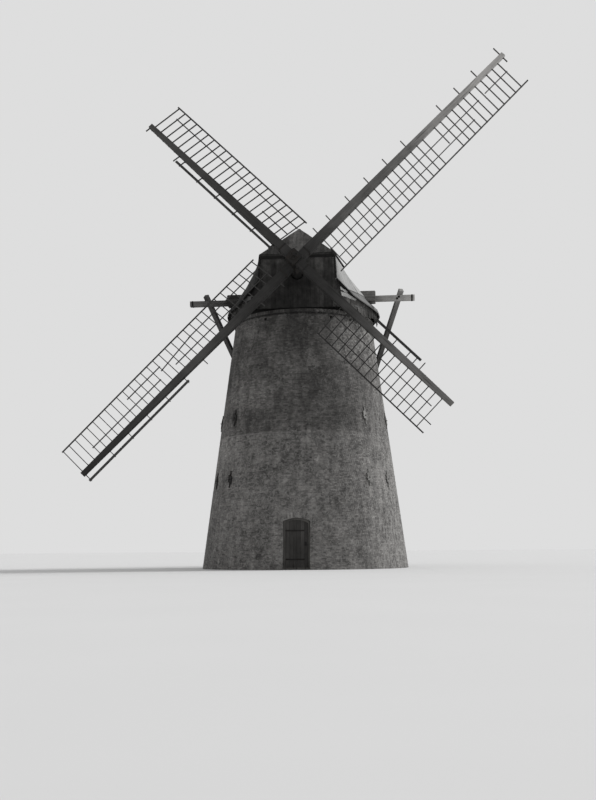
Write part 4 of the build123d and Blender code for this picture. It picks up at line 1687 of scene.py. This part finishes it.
stay_root = (0, 0.62)
stay_tip = (-0.42, 1.62)
stay_size = (0.075, 0.04)
stay_lift = 0.03
hem_end_bar = -0.95
hem_size = (0.05, 0.045)
hem_place = (1.60, 0.012)


class MILL_OT_hem_stay(Operator):
    """Diagonal stay from the first bar to the inner end of the hem, and the hem's last piece."""

    bl_idname = "mill.hem_stay"
    bl_label = "Hem stay"

    def execute(self, context):
        name = "sail_upper_right"
        arm = sail_arms[name]
        root, tip = (self.stay_end(arm, *end) for end in (stay_root, stay_tip))
        turn = (tip - root).to_track_quat("X", "Z").to_matrix().to_4x4()
        stay = Matrix.Translation((root + tip) / 2) @ turn
        pile = Pile(695)
        pile.block(((tip - root).length, *stay_size), arm_matrix(name) @ stay)
        inner = arm.bar_radius(stay_tip[0])
        low = arm.bar_radius(hem_end_bar)
        hem = turned(arm.weather(inner), "X") @ moved((low + inner) / 2, *hem_place)
        pile.block((inner - low, *hem_size), arm_matrix(name) @ hem)
        pile.finish("upper_right_hem_stay", "sail_lower_right lattice", "sails", "lattice_timber")
        return {"FINISHED"}

    def stay_end(self, arm, bar, across):
        """Place of one end of the stay, twisted with the bar there."""
        radius = arm.bar_radius(bar)
        return turned(arm.weather(radius), "X") @ Vector((radius, across, stay_lift))


anchor_boss = (0.03, 0.24, 0.26)
anchor_leaning_wedge = (0.026, 0.15, 0.44)
anchor_cross_wedge = (0.034, 0.30, 0.05)
anchor_bolt = 0.05


class MILL_OT_anchor_plates(Operator):
    """Cross wedges and bolts at the middle of the wall anchors."""

    bl_idname = "mill.anchor_plates"
    bl_label = "Anchor plates"

    def execute(self, context):
        pile = Pile(690)
        for middle in self.anchors():
            angle = atan2(middle.y, middle.x)
            face = moved(*middle) @ turned(angle, "Z") @ turned(-wall_batter, "Y")
            pile.block(anchor_boss, face)
            pile.block(anchor_leaning_wedge, face @ turned(0.3, "X"))
            pile.block(anchor_cross_wedge, face @ turned(pile.dice.uniform(-0.25, 0.25), "X"))
            bolt(pile, face @ moved(0.012, 0, 0) @ turned(pi / 2, "Y"), anchor_bolt)
        pile.finish("anchor_plates", "wall iron", "tower", "wrought_iron")
        return {"FINISHED"}

    def anchors(self):
        """Middles of the anchors, from their solids' corners."""
        part = merged_copy("wall_anchors")
        left = set(part.verts)
        middles = []
        for start in part.verts:
            if start not in left:
                continue
            left.discard(start)
            island = [start]
            for vert in island:
                for edge in vert.link_edges:
                    other = edge.other_vert(vert)
                    if other in left:
                        left.discard(other)
                        island.append(other)
            heights = [vert.co.z for vert in island]
            height = (min(heights) + max(heights)) / 2
            reach = max(hypot(v.co.x, v.co.y) - wall_radius(v.co.z) for v in island)
            centre = sum((v.co for v in island), Vector()) / len(island)
            middles.append(outward(centre) * (wall_radius(height) + reach) + up * height)
        part.free()
        return sorted(middles, key=lambda place: (round(place.z, 1), atan2(place.y, place.x)))


brace_seat_inset = 0.26
brace_bolt_step = 0.04
beam_band_inset = 0.12


class MILL_OT_beam_irons(Operator):
    """Bolts where the long braces meet the long cross-beam, and bands on both cross-beams."""

    bl_idname = "mill.beam_irons"
    bl_label = "Beam and brace irons"

    def execute(self, context):
        size = context.scene.mill_ironwork.bolt
        pile = Pile(660)
        low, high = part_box("long_cross_beam")
        middle = (low.z + high.z) / 2
        left_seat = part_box("left_long_brace")[0].x + brace_seat_inset
        right_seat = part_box("right_long_brace")[1].x - brace_seat_inset
        for seat in (left_seat, right_seat):
            for step in (-brace_bolt_step, brace_bolt_step):
                bolt(pile, moved(seat + step, low.y, middle + step) @ turned(pi / 2, "X"), size)
        for node in ("long_cross_beam", "short_cross_beam"):
            low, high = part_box(node)
            middle = moved(0, (low.y + high.y) / 2, (low.z + high.z) / 2)
            for end in (low.x + beam_band_inset, high.x - beam_band_inset):
                band(pile, middle @ moved(end, 0, 0), high.y - low.y, high.z - low.z)
        pile.finish("beam_irons", "iron", "cap", "weathered_timber")
        return {"FINISHED"}


# Stage

floor_radius = 420
floor_drop = 0.002
key_direction = Vector((0.80, 0.30, 0.52))


class MILL_OT_stage(Operator):
    """Pale floor and backdrop, soft light, and the camera."""

    bl_idname = "mill.stage"
    bl_label = "Stage"

    def execute(self, context):
        settings = context.scene.mill_stage
        scene = context.scene
        scene.view_settings.view_transform = "Standard"
        self.floor(scene, settings)
        self.backdrop(scene, settings)
        self.lamp(scene, settings)
        self.camera(scene)
        return {"FINISHED"}

    def floor(self, scene, settings):
        """Large disc under the mill."""
        part = bmesh.new()
        bmesh.ops.create_circle(part, cap_ends=True, segments=96, radius=floor_radius)
        bmesh.ops.translate(part, verts=part.verts, vec=up * -floor_drop)
        mesh = bpy.data.meshes.new("floor")
        part.to_mesh(mesh)
        part.free()
        floor = bpy.data.objects.new("floor", mesh)
        scene.collection.objects.link(floor)
        shader = Finish("floor")
        cloudy = shader.spread(shader.noise(shader.place, 0.4, 2.0, 0.5), 0.3, 0.7, 0.985, 1.0)
        shader.skin(shader.scaled(opaque(settings.floor), cloudy), 0.95, 0.5)
        mesh.materials.append(finishes["floor"])

    def backdrop(self, scene, settings):
        """World that shows the backdrop's colour and gives an even light."""
        world = bpy.data.worlds.new("studio")
        scene.world = world
        world.use_nodes = True
        shader = Shader(world.node_tree)
        background = world.node_tree.nodes["Background"].inputs
        path = shader.node("LightPath").outputs
        seen = shader.larger(path["Is Camera Ray"], path["Is Glossy Ray"])
        seen = shader.larger(seen, path["Is Transmission Ray"])
        light = (settings.sky_light, settings.sky_light, settings.sky_light)
        colour = shader.mix(seen, opaque(light), opaque(settings.backdrop))
        shader.feed(background["Color"], colour)
        shader.feed(background["Strength"], 1.0)

    def lamp(self, scene, settings):
        """Soft key light from the right and a little behind."""
        light = bpy.data.lights.new("key", "SUN")
        light.energy = settings.key_light
        light.angle = settings.key_size
        lamp = bpy.data.objects.new("key", light)
        lamp.rotation_euler = key_direction.to_track_quat("Z", "Y").to_euler()
        scene.collection.objects.link(lamp)

    def camera(self, scene):
        """Camera that sees the mill from the photograph's place."""
        data = bpy.data.cameras.new("camera")
        data.sensor_fit = "VERTICAL"
        data.lens = focal_pixels / picture_height * data.sensor_height
        data.shift_y = (horizon_pixel - picture_height / 2) / picture_height
        data.clip_end = 1000
        camera = bpy.data.objects.new("camera", data)
        camera.location = eye_place
        camera.rotation_euler = Euler((pi / 2, eye_roll, eye_heading))
        scene.collection.objects.link(camera)
        scene.camera = camera


class MILL_PT_panel(Panel):
    """Lists the settings, and the steps that dress the mill."""

    bl_label = "Tower mill"
    bl_idname = "MILL_PT_panel"
    bl_space_type = "VIEW_3D"
    bl_region_type = "UI"
    bl_category = "Mill"

    def draw(self, context):
        for name in setting_groups:
            box = self.layout.box()
            settings = getattr(context.scene, name)
            for field in settings.bl_rna.properties:
                if field.identifier not in ("rna_type", "name"):
                    box.prop(settings, field.identifier)
        for step in steps:
            self.layout.operator(step.bl_idname)


setting_groups = {
    "mill_brickwork": MillBrickwork,
    "mill_boarding": MillBoarding,
    "mill_ironwork": MillIronwork,
    "mill_colours": MillColours,
    "mill_stage": MillStage,
}
steps = (
    MILL_OT_stage, MILL_OT_finishes, MILL_OT_wall_bricks, MILL_OT_head_bricks,
    MILL_OT_arch_bricks, MILL_OT_doors, MILL_OT_gable_boards, MILL_OT_hip_boards,
    MILL_OT_roof_felt, MILL_OT_verges, MILL_OT_skirt_boards, MILL_OT_eaves,
    MILL_OT_felt_scraps, MILL_OT_box_boards, MILL_OT_stock_irons, MILL_OT_bar_wedges,
    MILL_OT_leading_boards, MILL_OT_hem_stay, MILL_OT_anchor_plates, MILL_OT_beam_irons,
)


def register():
    """Registers the classes and puts the settings on the scene."""
    for kind in (*setting_groups.values(), *steps, MILL_PT_panel):
        bpy.utils.register_class(kind)
    for name, kind in setting_groups.items():
        setattr(bpy.types.Scene, name, PointerProperty(type=kind))


def unregister():
    """Takes the settings and classes away again."""
    for name in setting_groups:
        delattr(bpy.types.Scene, name)
    for kind in (MILL_PT_panel, *reversed(steps), *reversed(tuple(setting_groups.values()))):
        bpy.utils.unregister_class(kind)


def main():
    """Dresses the mill, step by step."""
    register()
    for step in steps:
        group, name = step.bl_idname.split(".")
        getattr(getattr(bpy.ops, group), name)()


if __name__ == "__main__":
    main()
